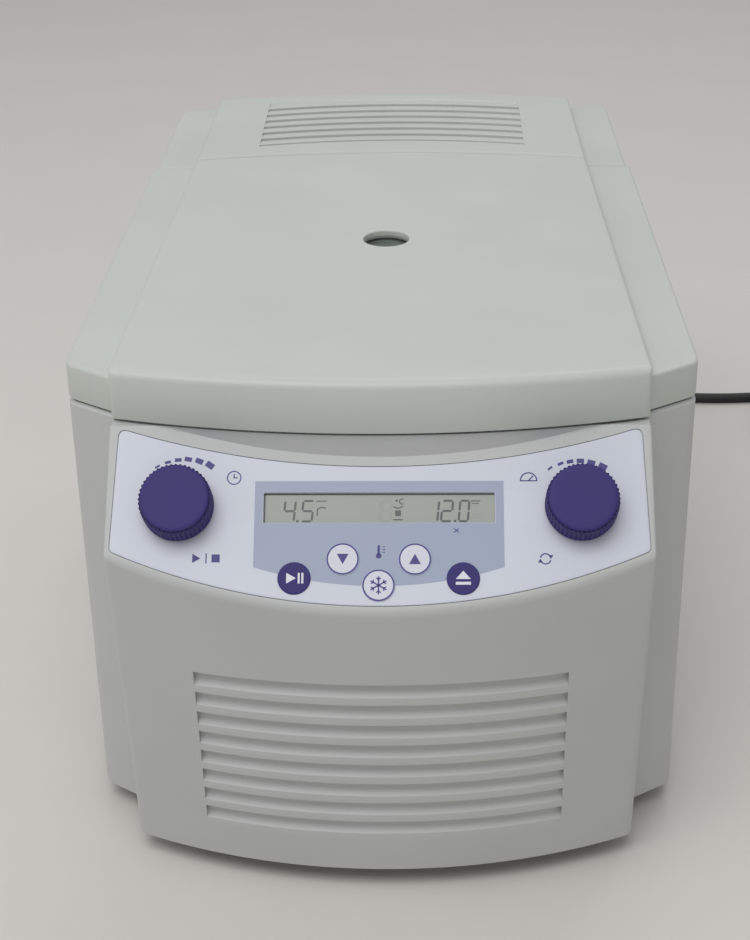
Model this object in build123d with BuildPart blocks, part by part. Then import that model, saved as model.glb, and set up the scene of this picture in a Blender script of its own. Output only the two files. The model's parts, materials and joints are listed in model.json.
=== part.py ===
from build123d import *
from math import asin, cos, degrees, hypot, pi, radians, sin, sqrt, tan
import os

# A refrigerated bench centrifuge for small tubes, in millimetres.
# X runs to the right, Y to the back, Z up. The origin is on the table under the middle of the body.

# Body seen from above: slanting wings at the front corners and sides that draw in to the rear
half_front = 145.0
half_rear = 137.4
body_length = 394.0
wing_inner = 121.7
wing_reach = 15.5
corner_radius = 8.0
wall = 3.0

# Rubber feet
foot_radius = 13.0
foot_inset = 28.0
foot_front_row = 32.0
foot_rear_row = 360.0
foot_edge = 2.0

# Heights above the table
foot_height = 11.0
parting_height = 230.0
parting_gap = 1.4
shoulder_rise = 17.5
strip_rise = 23.4
edge_chamfer = 1.5

# Raised centre strip of the lid and the rear cover
strip_half_front = 121.5
strip_half_seam = 113.5
strip_half_rear = 111.3
skirt_end = 22.3
skirt_middle = 38.9
skirt_lean_end = 1.8
skirt_lean_middle = 4.9
seam_end = 274.5
seam_step = 2.5
seam_bow = 12.0
seam_gap = 1.2
cover_inset = 2.0
rear_lean = 12.0
hump_end = 3.0
hump_middle = 13.4
top_round = 4.0
rear_round = 2.0
cover_wall = 2.5

# Console: a flat panel that slopes between the neck under the lid and the nose
panel_slope = 45.0
nose_end = 70.0
nose_middle = 90.1
nose_drop = 44.6
foot_end = 42.5
foot_middle = 70.1
neck_setback = 1.6
console_half = 121.5
nose_round = 5.0
side_round = 8.0

# Louvres in the console's lower front
louvre_count = 8
louvre_pitch = 12.0
louvre_open = 7.6
louvre_half = 85.0
louvre_drop = 103.2
louvre_pad = 3.5
louvre_margin = 7.0

# Louvres in the hump
vent_count = 7
vent_pitch = 12.2
vent_slot = 4.0
vent_half = 79.0
vent_first = 301.0
vent_bow = 9.0

# Keypad overlay, measured up the slope from the line that joins the ends of the nose
overlay_thickness = 0.8
overlay_half_top = 117.0
overlay_half_bottom = 119.0
overlay_top_end = 58.8
overlay_top_middle = 41.7
overlay_bottom_end = 2.8
overlay_bottom_middle = -21.9
overlay_gap = 0.3
overlay_corner = 4.0

# Display
display_width = 102.8
display_height = 14.6
display_up = 22.6
lens_thickness = 1.0
lens_sink = 2.0
module_border = 4.5

# Knobs and their push shafts
knob_across = 89.2
knob_up = 23.2
knob_radius = 16.3
knob_height = 13.5
knob_face_radius = 15.4
knob_ribs = 44
knob_rib_radius = 0.7
knob_lift = 2.0
knob_travel = 0.8
knob_shaft_radius = 3.0
shaft_reach = 10.0
shaft_hole_radius = 5.0
encoder_side = 12.0
running_fit = 0.05
end_play = 0.3

# Keys
key_radius = 7.3
key_gap = 0.3
key_proud = 0.7
key_travel = 0.5
key_stem_radius = 2.0
key_places = {
    "short_run_key": (-37.0, -9.6),
    "temp_down_key": (-15.8, -0.9),
    "fast_cool_key": (0.0, -12.8),
    "temp_up_key": (15.9, -1.0),
    "lid_open_key": (37.0, -9.7),
}

# Control board behind the console
board_depth = 12.0
board_thickness = 1.6
board_half = 104.0
board_low = 10.0
board_high = 36.0
board_tab_half = 48.0
board_tab_low = -20.0
post_radius = 3.0
post_places = [(-100, 33), (100, 33), (-70, 33), (70, 33)]

# Chamber, rotor and motor
chamber_back = 143.6
bowl_inner = 98.0
bowl_wall = 1.2
bowl_flange = 108.0
bowl_depth = 100.0
bowl_round = 8.0
gasket_width = 6.0
seal_play = 0.3
jacket_radius = 105.0
jacket_lift = 10.0
jacket_drop = 18.0
foam_radius = 119.0
foam_under = 16.0
rotor_radius = 84.0
rotor_lift = 18.0
rotor_height = 50.0
rotor_taper = 26.0
rotor_lid_height = 12.0
rotor_knob_radius = 17.0
rotor_knob_height = 10.0
shaft_radius = 6.0
motor_radius = 48.0
motor_low = 30.0
motor_drop = 20.0
seal_radius = 13.0
mount_plate_side = 150.0
mount_plate_thickness = 4.0
damper_radius = 9.0

# Sight hole in the middle of the lid
sight_radius = 11.8
sight_wall = 2.6
sight_ledge = 1.6
glass_thickness = 3.0
glass_sink = 4.0

# Lid liner
liner_lift = 0.5
liner_thickness = 3.0
liner_gap = 0.4
liner_screw_radius = 3.5
liner_screw_head = 1.2
liner_screw_across = 118.0
liner_screw_front_row = 12.0
liner_screw_rear_row = 240.0

# Hinge
hinge_setback = 10.0
hinge_sink = 9.0
hinge_across = 85.0
pin_radius = 2.5
boss_radius = 5.5
arm_width = 8.0
arm_thickness = 6.0
arm_clearance = 1.5
arm_foot_length = 40.0
arm_foot_drop = 4.0
arm_foot_step = 6.0
arm_low_angle = 265.0
arm_high_angle = 184.0
cheek_thickness = 3.0
cheek_gap = 0.4
rail_drop = 27.0
rail_thickness = 3.0
rail_lip = 12.0
rail_reach = 3.5
rail_width = 42.0
rail_margin = 5.0
bracket_base = 3.0

# Latch
striker_back = -19.0
striker_width = 14.0
striker_thickness = 4.0
striker_play_across = 1.5
striker_play_along = 3.0
striker_drop = 18.0
striker_foot = 22.0
bolt_radius = 3.0
bolt_play = 1.0
bolt_length = 25.0
bolt_rest = 5.0
bolt_travel = 12.0
bolt_drop = 9.5
latch_depth = 20.0
latch_front = -31.0
latch_back = -7.0
latch_left = -14.0
latch_right = 40.0

# Sheet metal
sheet = 1.5
pan_flange = 14.0
pan_front = -11.5
rear_panel_back = 391.5
grille_pitch = 10.0
grille_slot = 5.0
screw_radius = 3.5
screw_head = 2.4
screw_inset = 11.0
screw_low = 30.0
screw_high = 212.0
bulkhead_reach = 19.5
bulkhead_height = 190.0

# Power board: each part stands across, wide, above the board's foot, tall and deep
board_back = 4.0
power_board_width = 200.0
power_board_height = 100.0
power_parts = [(-70, 40, 20, 45, 26), (-22, 30, 20, 30, 18), (15, 14, 20, 40, 20), (60, 60, 20, 55, 12)]

# Cooling unit
compressor_side_gap = 5.7
compressor_front_gap = 10.0
compressor_radius = 50.0
compressor_low = 27.0
compressor_high = 165.0
condenser_side_gap = 10.7
condenser_width = 96.0
condenser_front = 332.0
condenser_depth = 24.7
condenser_high = 165.0
fin_count = 14
shroud_front = 357.0
shroud_depth = 30.0
fan_height = 95.0
fan_radius = 42.0
fan_tip_gap = 2.0
fan_hub_radius = 15.0
fan_depth = 14.0
fan_front_gap = 7.0
fan_blades = 7
blade_tilt = 35.0
fan_axle_radius = 2.0
compressor_mount_radius = 8.0
compressor_plate = 3.0
compressor_plate_side = 90.0
fin_thickness = 1.2
condenser_tube = 4.0
shroud_wall = 4.0

# Mains inlet, rocker and lead
inlet_across = 0.0
inlet_height = 45.0
inlet_width = 28.0
inlet_depth = 26.0
inlet_flange = 2.0
inlet_border = 3.0
socket_width = 24.6
socket_tall = 16.6
socket_depth = 16.0
plug_in = 15.0
socket_gap = 0.3
rocker_width = 13.0
rocker_tall = 20.0
rocker_thick = 8.0
rocker_well = 11.0
module_middle = 57.0
module_height = 56.0
rocker_height = 72.0
rocker_angle = 12.0
connector_width = 29.0
connector_tall = 23.0
connector_length = 32.0
relief_radius = 7.0
relief_tip = 4.3
connector_relief = 24.0
cord_diameter = 6.8
coil_turn_radius = 38.5
coil_pitch = 8.6
coil_layer_rise = 8.0
coil_half_turns = 6
coil_tail = 14.0
coil_start = (309.0, 474.0)
floor_play = 0.1
plug_width = 26.0
plug_tall = 22.6
blade_spread = 12.7
blade_thick = 1.5
blade_wide = 6.3
earth_radius = 2.4
plug_length = 36.0
plug_relief = 28.0
blade_length = 17.0

# Places that follow from the sizes above
seam_shoulder = seam_end + seam_step
seam_middle = seam_end + seam_bow
bulkhead_back = seam_middle - bulkhead_reach
rail_front = seam_middle - rail_reach
rail_back = rail_front + rail_width
compressor_back = bulkhead_back + compressor_front_gap + compressor_radius
total_length = body_length + nose_middle - 2.1 + hump_middle
front_y = nose_middle - 2.1 - total_length / 2
housing_top = parting_height - parting_gap
shoulder_top = parting_height + shoulder_rise
strip_top = parting_height + strip_rise
chamber_y = front_y + chamber_back
hinge_y = front_y + seam_middle + hinge_setback
hinge_z = strip_top - hinge_sink
striker_slot_x = striker_thickness + 2 * striker_play_across
striker_slot_y = striker_width + 2 * striker_play_along


def back(distance):
    """Y of a point that lies this far behind the line that joins the front corners"""
    return front_y + distance


def side_x(distance, inset=0.0):
    """Half width of the body this far behind the front corners"""
    return half_front - (half_front - half_rear) * distance / body_length - inset


compressor_across = compressor_radius + compressor_side_gap - side_x(compressor_back)
bowl_floor = parting_height - bowl_depth
jacket_low = bowl_floor + jacket_lift
jacket_high = parting_height - jacket_drop
foam_low = bowl_floor - foam_under
rotor_low = bowl_floor + rotor_lift
motor_high = bowl_floor - motor_drop
rail_low = parting_height - rail_drop
condenser_across = side_x(condenser_front) - condenser_side_gap - condenser_width / 2


def bow(half, end_y, middle_y):
    """Arc across the body from left to right through its middle"""
    return ThreePointArc((-half, end_y), (0, middle_y), (half, end_y))


def finish(piece, name):
    """Label one sub-part and write its file"""
    piece.label = name
    export_step(piece, f"parts/{name}.step")


os.makedirs("parts", exist_ok=True)

# The panel's plane: x across, y up the slope, z outwards
panel = Plane(
    origin=(0, back(-nose_end), parting_height - nose_drop),
    x_dir=(1, 0, 0),
    z_dir=(0, -sin(radians(panel_slope)), cos(radians(panel_slope))),
)


# Outline of the body from above, without the console
def body_face(inset=0.0, front=None, rear=None, radius=corner_radius, rounded="both"):
    """Plan of the body, drawn in by an inset, cut at a front and a rear line"""
    start = -wing_reach + inset if front is None else front
    end = body_length - inset if rear is None else rear
    with BuildSketch(mode=Mode.PRIVATE) as plan:
        with BuildLine():
            if start < 0:
                share = (inset - start) / wing_reach
                inner = side_x(0, inset) - (half_front - wing_inner) * share
                Polyline(
                    (-inner, back(start)),
                    (-side_x(0, inset), back(inset)),
                    (-side_x(end, inset), back(end)),
                    (side_x(end, inset), back(end)),
                    (side_x(0, inset), back(inset)),
                    (inner, back(start)),
                    close=True,
                )
            else:
                Polyline(
                    (-side_x(start, inset), back(start)),
                    (-side_x(end, inset), back(end)),
                    (side_x(end, inset), back(end)),
                    (side_x(start, inset), back(start)),
                    close=True,
                )
        make_face()
        if radius > 0:
            middle = back(body_length / 2)
            corners = [corner for corner in plan.vertices() if abs(corner.X) > wing_inner]
            if rounded == "front":
                corners = [corner for corner in corners if corner.Y < middle]
            if rounded == "rear":
                corners = [corner for corner in corners if corner.Y > middle]
            fillet(corners, radius)
    return plan.sketch


# Housing shell: side walls, wings and the deck with its chamber hole
with BuildPart() as housing_shell:
    with BuildSketch(Plane.XY.offset(foot_height)):
        add(body_face())
    extrude(amount=housing_top - foot_height)
    top_rim = housing_shell.faces().sort_by(Axis.Z)[-1].edges()
    chamfer(top_rim.filter_by(lambda edge: abs(edge.center().X) > wing_inner), edge_chamfer)
    with BuildSketch(Plane.XY.offset(foot_height)):
        add(body_face(wall, rear=body_length + 1, radius=corner_radius - wall))
    extrude(amount=housing_top - foot_height - wall, mode=Mode.SUBTRACT)
    # the front wall is open behind the console
    with BuildSketch(Plane.XY.offset(foot_height)):
        with Locations((0, back(-wing_reach + wall / 2))):
            Rectangle(2 * (wing_inner - 12), 2 * wall)
    extrude(amount=housing_top - foot_height - wall, mode=Mode.SUBTRACT)
    # the deck ends at the seam, in front of the hinge arms
    with BuildSketch(Plane.XY.offset(housing_top - wall)):
        with Locations((0, back(body_length))):
            Rectangle(2 * side_x(body_length, wall), 2 * (body_length - bulkhead_back))
    extrude(amount=wall, mode=Mode.SUBTRACT)
    with Locations((0, chamber_y, housing_top - wall / 2)):
        Cylinder(bowl_inner + bowl_wall + seal_play, wall + 1, mode=Mode.SUBTRACT)
    with Locations((0, back(striker_back), housing_top)):
        Box(striker_slot_x, striker_slot_y, 3 * wall, mode=Mode.SUBTRACT)
finish(housing_shell.part, "housing_shell")


# Outer form of the console, shrunk by an inset, from a low to a high level
def console_form(inset, low, high):
    """The bulging lower front below the sloped panel, with the neck under the lid"""
    half = console_half - inset
    rear_line = back(-wing_reach + 2 * inset)
    top_z = parting_height - nose_drop
    levels = []
    for z in (low, high):
        share = (z - foot_height) / (top_z - foot_height)
        end_y = foot_end + (nose_end - foot_end) * share - inset
        middle_y = foot_middle + (nose_middle - foot_middle) * share - inset
        levels.append((z, back(-end_y), back(-middle_y)))
    with BuildPart(mode=Mode.PRIVATE) as form:
        for z, end_y, middle_y in levels:
            with BuildSketch(Plane.XY.offset(z)):
                with BuildLine():
                    bow(half, end_y, middle_y)
                    Polyline((-half, end_y), (-half, rear_line), (half, rear_line), (half, end_y))
                make_face()
        loft(ruled=True)
        split(bisect_by=panel.offset(-inset), keep=Keep.BOTTOM)
        if inset == 0:
            front_edges = form.edges().filter_by(lambda edge: edge.center().Y < back(-foot_end) - 1)
            sides = front_edges.filter_by(lambda edge: abs(edge.center().X) > half - 1 and edge.length > nose_drop)
            fillet(sides.filter_by(lambda edge: edge.center().Z < top_z - nose_round), side_round)
            nose = form.edges().filter_by(lambda edge: edge.center().Y < back(-nose_end) and edge.length > half)
            fillet(nose.filter_by(lambda edge: edge.center().Z > top_z / 2), nose_round)
        with BuildSketch(Plane.XY.offset(low)):
            with BuildLine():
                bow(half, back(-skirt_end + neck_setback + inset), back(-skirt_middle + neck_setback + inset))
                Polyline(
                    (-half, back(-skirt_end + neck_setback + inset)),
                    (-half, rear_line),
                    (half, rear_line),
                    (half, back(-skirt_end + neck_setback + inset)),
                )
            make_face()
        extrude(amount=high - low)
    return form.part


def nose_arc(z):
    """Radius and centre line of the console's lower front at one level"""
    share = (z - foot_height) / (parting_height - nose_drop - foot_height)
    end_y = foot_end + (nose_end - foot_end) * share
    middle_y = foot_middle + (nose_middle - foot_middle) * share
    rise = middle_y - end_y
    return (console_half**2 + rise**2) / (2 * rise), back(-middle_y)


def overlay_face(grow=0.0):
    """Outline of the keypad overlay on the panel"""
    with BuildSketch(mode=Mode.PRIVATE) as face:
        with BuildLine():
            ThreePointArc(
                (-overlay_half_top - grow, overlay_top_end + grow),
                (0, overlay_top_middle + grow),
                (overlay_half_top + grow, overlay_top_end + grow),
            )
            top_x, bottom_x = overlay_half_top + grow, overlay_half_bottom + grow
            Line((top_x, overlay_top_end + grow), (bottom_x, overlay_bottom_end))
            ThreePointArc(
                (overlay_half_bottom + grow, overlay_bottom_end),
                (0, overlay_bottom_middle - grow),
                (-overlay_half_bottom - grow, overlay_bottom_end),
            )
            Line((-bottom_x, overlay_bottom_end), (-top_x, overlay_top_end + grow))
        make_face()
        fillet(face.vertices().group_by(Axis.Y)[-1], overlay_corner)
    return face.sketch


def panel_cut():
    """Holes of the panel for shafts, keys and the display, as one flat pattern"""
    with BuildSketch(mode=Mode.PRIVATE) as holes:
        with Locations((-knob_across, knob_up), (knob_across, knob_up)):
            Circle(shaft_hole_radius)
        with Locations(*key_places.values()):
            Circle(key_radius + key_gap)
        with Locations((0, display_up)):
            Rectangle(display_width, display_height)
    return holes.sketch


# Front fascia: a moulded shell with the console's recess, its openings and the curved louvres
louvre_low = parting_height - louvre_drop - louvre_count * louvre_pitch + (louvre_pitch - louvre_open)
with BuildPart() as front_fascia:
    add(console_form(0, foot_height, housing_top))
    with BuildPart(mode=Mode.PRIVATE) as hollow:
        add(console_form(wall, foot_height - 1, housing_top - wall))
        with BuildPart(mode=Mode.PRIVATE) as pad:
            add(console_form(wall - 0.2, foot_height - 1, housing_top - wall))
            add(console_form(wall + louvre_pad, foot_height - 2, housing_top), mode=Mode.SUBTRACT)
            pad_height = louvre_count * louvre_pitch + louvre_margin
            pad_level = louvre_low - louvre_margin / 2 - 1 + pad_height / 2
            with Locations((0, back(-nose_middle), pad_level)):
                pad_width = 2 * (louvre_half + louvre_margin)
                Box(pad_width, 2 * (nose_middle - wing_reach), pad_height, mode=Mode.INTERSECT)
        add(pad.part, mode=Mode.SUBTRACT)
    add(hollow.part, mode=Mode.SUBTRACT)
    with BuildSketch(panel.offset(-overlay_thickness)):
        add(overlay_face(overlay_gap))
    extrude(amount=3 * overlay_thickness, mode=Mode.SUBTRACT)
    with BuildSketch(panel):
        add(panel_cut())
    extrude(amount=-wall - 2 * overlay_thickness, mode=Mode.SUBTRACT)
    # each louvre is a slot that rises inwards, swept round the curve of the front
    for row in range(louvre_count):
        lip = parting_height - louvre_drop - row * louvre_pitch - louvre_open
        radius, middle_y = nose_arc(lip)
        reach = wall + louvre_pad + 6
        axis = Axis((0, middle_y + radius, 0), (0, 0, 1))
        sweep_angle = degrees(2 * asin(louvre_half / radius))
        start = Plane(origin=(0, middle_y + radius, 0), x_dir=(0, 1, 0), z_dir=(1, 0, 0))
        with BuildSketch(start.rotated((0, 0, -sweep_angle / 2))):
            with BuildLine():
                Polyline(
                    (-radius - 4, lip - 4),
                    (-radius + reach, lip + reach),
                    (-radius + reach, lip + reach + louvre_open),
                    (-radius - 4, lip - 4 + louvre_open),
                    close=True,
                )
            make_face()
        revolve(axis=axis, revolution_arc=sweep_angle, mode=Mode.SUBTRACT)
    # slot for the lid's striker
    with Locations((0, back(striker_back), housing_top)):
        Box(striker_slot_x, striker_slot_y, 3 * wall, mode=Mode.SUBTRACT)
finish(front_fascia.part, "front_fascia")

# Keypad overlay: a thin membrane in the panel's recess
with BuildPart() as keypad_overlay:
    with BuildSketch(panel.offset(-overlay_thickness)):
        add(overlay_face())
        add(panel_cut(), mode=Mode.SUBTRACT)
    extrude(amount=overlay_thickness)
finish(keypad_overlay.part, "keypad_overlay")

# Display lens, sunk below the overlay
with BuildPart() as display_window:
    with BuildSketch(panel.offset(-lens_sink - lens_thickness)):
        with Locations((0, display_up)):
            Rectangle(display_width - 2 * overlay_gap, display_height - 2 * overlay_gap)
    extrude(amount=lens_thickness)
finish(display_window.part, "display_window")

# Display module: its glass reaches up behind the lens, its frame stands on the control board
wall_under = overlay_thickness + wall
with BuildPart() as display_module:
    with BuildSketch(panel.offset(-board_depth)):
        with Locations((0, display_up)):
            Rectangle(display_width + 2 * module_border, display_height + 2 * module_border)
    extrude(amount=board_depth - wall_under - overlay_gap)
    with BuildSketch(panel.offset(-board_depth)):
        with Locations((0, display_up)):
            Rectangle(display_width - 2 * overlay_gap, display_height - 2 * overlay_gap)
    extrude(amount=board_depth - lens_sink - lens_thickness)
finish(display_module.part, "display_module")

# Control board with its posts up to the panel
with BuildPart() as control_board:
    with BuildSketch(panel.offset(-board_depth - board_thickness)):
        with Locations((0, (board_low + board_high) / 2)):
            Rectangle(2 * board_half, board_high - board_low)
        with Locations((0, (board_low + board_tab_low) / 2)):
            Rectangle(2 * board_tab_half, board_low - board_tab_low)
    extrude(amount=board_thickness)
    with BuildSketch(panel.offset(-board_depth)):
        with Locations(*post_places):
            Circle(post_radius)
    extrude(amount=board_depth - wall_under)
finish(control_board.part, "control_board")

# Two encoders on the board, open at the top for the push shafts
with BuildPart() as knob_encoders:
    with BuildSketch(panel.offset(-board_depth)):
        with Locations((-knob_across, knob_up), (knob_across, knob_up)):
            Rectangle(encoder_side, encoder_side)
            Circle(knob_shaft_radius + running_fit, mode=Mode.SUBTRACT)
    extrude(amount=board_depth - wall_under - overlay_gap)
finish(knob_encoders.part, "knob_encoders")


def knob_face(radius):
    """Round face with a ring of grooves for the fingers"""
    with BuildSketch(mode=Mode.PRIVATE) as face:
        Circle(radius)
        with PolarLocations(radius + knob_rib_radius / 3, knob_ribs):
            Circle(knob_rib_radius, mode=Mode.SUBTRACT)
    return face.sketch


# Knobs, each on a shaft that pushes in while the knob turns on it
for side, name in ((-1, "time"), (1, "speed")):
    spot = panel.origin + panel.x_dir * (side * knob_across) + panel.y_dir * knob_up
    seat = Plane(origin=spot, x_dir=(1, 0, 0), z_dir=panel.z_dir)
    with BuildPart() as shaft:
        with BuildSketch(seat.offset(-board_depth + knob_travel + end_play)):
            Circle(knob_shaft_radius)
        extrude(amount=board_depth - knob_travel - end_play + shaft_reach)
    finish(shaft.part, f"{name}_shaft")
    with BuildPart() as knob:
        with BuildSketch(seat.offset(knob_lift)):
            add(knob_face(knob_radius))
        extrude(amount=knob_height - knob_lift)
        with BuildSketch(seat.offset(knob_height)):
            Circle(knob_face_radius)
        extrude(amount=1)
        with BuildSketch(seat.offset(knob_lift)):
            Circle(knob_shaft_radius + running_fit)
        extrude(amount=shaft_reach - knob_lift + end_play, mode=Mode.SUBTRACT)
    finish(knob.part, f"{name}_knob")

# Five round keys, each with a stem that stops short of its switch
for name, (across, up) in key_places.items():
    spot = panel.origin + panel.x_dir * across + panel.y_dir * up
    seat = Plane(origin=spot, x_dir=(1, 0, 0), z_dir=panel.z_dir)
    with BuildPart() as key:
        with BuildSketch(seat.offset(-wall_under)):
            Circle(key_radius)
        extrude(amount=wall_under + key_proud)
        fillet(key.faces().sort_by(Axis(seat.origin, seat.z_dir))[-1].edges(), key_proud / 2)
        with BuildSketch(seat.offset(-wall_under)):
            Circle(key_stem_radius)
        extrude(amount=-(board_depth - wall_under - key_travel - end_play))
    finish(key.part, name)


def strip_x(distance):
    """Half width of the raised strip this far behind the front corners"""
    share = (distance + skirt_end) / (seam_end + skirt_end)
    return strip_half_front - (strip_half_front - strip_half_seam) * share


def strip_section(z, inset):
    """One level of the lid's centre strip: the skirt leans back and the rear face leans forward"""
    share = (z - parting_height) / strip_rise
    front_end = back(-skirt_end + skirt_lean_end * share + inset)
    front_middle = back(-skirt_middle + skirt_lean_middle * share + inset)
    rear_end = back(seam_end - rear_lean * (1 - share) - inset)
    rear_middle = back(seam_middle - rear_lean * (1 - share) - inset)
    front_x = strip_half_front - inset
    rear_x = strip_x(seam_end - rear_lean * (1 - share)) - inset
    with BuildSketch(Plane.XY.offset(z), mode=Mode.PRIVATE) as level:
        with BuildLine():
            bow(front_x, front_end, front_middle)
            Line((front_x, front_end), (rear_x, rear_end))
            ThreePointArc((rear_x, rear_end), (0, rear_middle), (-rear_x, rear_end))
            Line((-rear_x, rear_end), (-front_x, front_end))
        make_face()
    return level.sketch


# Lid cover: the strip with its skirt, and the lower shoulders, as one hollow moulding
with BuildPart() as lid_cover:
    with BuildSketch(Plane.XY.offset(parting_height)):
        add(body_face(rear=seam_shoulder, rounded="front"))
    extrude(amount=shoulder_rise)
    shoulder_rim = lid_cover.faces().sort_by(Axis.Z)[-1].edges()
    fillet(shoulder_rim.filter_by(lambda edge: abs(edge.center().X) > wing_inner - 20), edge_chamfer)
    # the shoulders leave room for the leaning rear face of the strip
    room = seam_step + rear_lean + wall
    with Locations((0, back(seam_shoulder), parting_height + shoulder_rise / 2)):
        Box(2 * strip_half_seam, 2 * room, shoulder_rise, mode=Mode.SUBTRACT)
    with BuildPart(mode=Mode.PRIVATE) as strip:
        for z in (parting_height, strip_top):
            add(strip_section(z, 0))
        loft(ruled=True)
        rim = strip.faces().sort_by(Axis.Z)[-1].edges().sort_by(Axis.Y)
        fillet(rim[0], top_round)
        fillet(strip.faces().sort_by(Axis.Z)[-1].edges().sort_by(Axis.Y)[-1], rear_round)
    add(strip.part)
    with BuildSketch(Plane.XY.offset(parting_height)):
        add(body_face(wall, rear=seam_end - rear_lean - wall, rounded="front", radius=corner_radius - wall))
    extrude(amount=shoulder_rise - wall, mode=Mode.SUBTRACT)
    with BuildPart(mode=Mode.PRIVATE) as strip_hollow:
        for z in (parting_height - 1, strip_top - wall):
            add(strip_section(z, wall))
        loft(ruled=True)
    add(strip_hollow.part, mode=Mode.SUBTRACT)
    with Locations((0, chamber_y, strip_top)):
        Cylinder(sight_radius, 3 * wall, mode=Mode.SUBTRACT)
    # gap beside the corners of the hump
    with Locations((0, back(seam_shoulder), parting_height + shoulder_rise / 2)):
        with GridLocations(2 * strip_half_seam + seam_gap, 1, 2, 1):
            Box(seam_gap, 2 * seam_step + seam_gap, shoulder_rise, mode=Mode.SUBTRACT)
    # notches that let the hinge arms out at the rear
    notch_top = hinge_z + arm_foot_drop + end_play
    with Locations((0, back(seam_shoulder), (parting_height + notch_top) / 2 - 1)):
        with GridLocations(2 * hinge_across, 1, 2, 1):
            Box(arm_width + 2, 6 * wall, notch_top - parting_height + 2, mode=Mode.SUBTRACT)
finish(lid_cover.part, "lid_cover")

def hump_face(inset):
    """Plan of the hump between the seam and the bulging rear edge"""
    with BuildSketch(mode=Mode.PRIVATE) as plan:
        with BuildLine():
            front_x = strip_half_seam - inset
            rear_x = strip_half_rear - inset
            front_y_end = back(seam_end + seam_gap + inset)
            rear_y_end = back(body_length + hump_end - inset)
            bow(front_x, front_y_end, back(seam_middle + seam_gap + inset))
            Line((front_x, front_y_end), (rear_x, rear_y_end))
            bow(-rear_x, rear_y_end, back(body_length + hump_middle - inset))
            Line((-rear_x, rear_y_end), (-front_x, front_y_end))
        make_face()
    return plan.sketch


# Rear cover: shoulders and the louvred hump, hollow below
with BuildPart() as rear_cover:
    with BuildSketch(Plane.XY.offset(housing_top)):
        add(body_face(cover_inset, front=seam_shoulder + seam_gap, rear=body_length, rounded="rear"))
    extrude(amount=shoulder_top - housing_top)
    shoulder_rim = rear_cover.faces().sort_by(Axis.Z)[-1].edges()
    outer_rim = shoulder_rim.filter_by(lambda edge: abs(edge.center().X) > wing_inner or edge.length > half_rear)
    fillet(outer_rim, edge_chamfer)

    # the shoulders stop beside the hump, whose front edge bows to the rear
    with Locations((0, back(seam_shoulder), (housing_top + shoulder_top) / 2)):
        Box(
            2 * strip_half_seam,
            2 * (seam_middle + seam_gap + cover_wall - seam_shoulder),
            shoulder_top - housing_top,
            mode=Mode.SUBTRACT,
        )

    with BuildPart(mode=Mode.PRIVATE) as hump:
        with BuildSketch(Plane.XY.offset(housing_top)):
            add(hump_face(0))
        extrude(amount=strip_top - housing_top)
        fillet(hump.faces().sort_by(Axis.Z)[-1].edges(), rear_round)
    add(hump.part)
    with BuildSketch(Plane.XY.offset(housing_top)):
        add(
            body_face(
                cover_inset + cover_wall,
                front=seam_middle + seam_gap + cover_wall,
                rear=body_length - cover_wall,
                radius=corner_radius - cover_wall,
                rounded="rear",
            )
        )
    extrude(amount=shoulder_top - housing_top - cover_wall, mode=Mode.SUBTRACT)
    with BuildSketch(Plane.XY.offset(housing_top + cover_wall)):
        add(hump_face(cover_wall))
    extrude(amount=strip_top - housing_top - 2 * cover_wall, mode=Mode.SUBTRACT)
    # curved louvre slots through the top of the hump
    for row in range(vent_count):
        start = vent_first + row * vent_pitch
        with BuildSketch(Plane.XY.offset(strip_top - 2 * cover_wall)):
            with BuildLine():
                bow(vent_half, back(start), back(start + vent_bow))
                Line((vent_half, back(start)), (vent_half, back(start + vent_slot)))
                bow(-vent_half, back(start + vent_slot), back(start + vent_slot + vent_bow))
                Line((-vent_half, back(start + vent_slot)), (-vent_half, back(start)))
            make_face()
        extrude(amount=3 * cover_wall, mode=Mode.SUBTRACT)
    # notches for the hinge arms in the front wall
    notch_top = strip_top - cover_wall - 1
    with Locations((0, back(seam_middle), (housing_top + notch_top) / 2 - 1)):
        with GridLocations(2 * hinge_across, 1, 2, 1):
            Box(arm_width + 3, 10 * wall, notch_top - housing_top + 2, mode=Mode.SUBTRACT)
finish(rear_cover.part, "rear_cover")


def ring(level, inner_r, outer_r, height):
    """Washer round the chamber's axis, standing on a level"""
    with BuildPart(mode=Mode.PRIVATE) as washer:
        with Locations((0, chamber_y, level + height / 2)):
            Cylinder(outer_r, height)
            if inner_r > 0:
                Cylinder(inner_r, height, mode=Mode.SUBTRACT)
    return washer.part


def turned(points):
    """Solid of revolution about the chamber's axis from a profile of radius and height"""
    with BuildPart(mode=Mode.PRIVATE) as form:
        with BuildSketch(Plane(origin=(0, chamber_y, 0), x_dir=(1, 0, 0), z_dir=(0, -1, 0))):
            with BuildLine():
                Polyline(*points, close=True)
            make_face()
        revolve(axis=Axis((0, chamber_y, 0), (0, 0, 1)))
    return form.part


# Base pan: a tray inside the foot of the housing
pan_rear = rear_panel_back - sheet
with BuildPart() as base_pan:
    with BuildSketch(Plane.XY.offset(foot_height)):
        add(body_face(wall + end_play, front=pan_front, rear=pan_rear, rounded="front"))
    extrude(amount=pan_flange)
    with BuildSketch(Plane.XY.offset(foot_height + sheet)):
        add(body_face(wall + end_play + sheet, front=pan_front + sheet, rear=pan_rear - sheet, rounded="front"))
    extrude(amount=pan_flange, mode=Mode.SUBTRACT)
finish(base_pan.part, "base_pan")
pan_floor = foot_height + sheet

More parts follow.
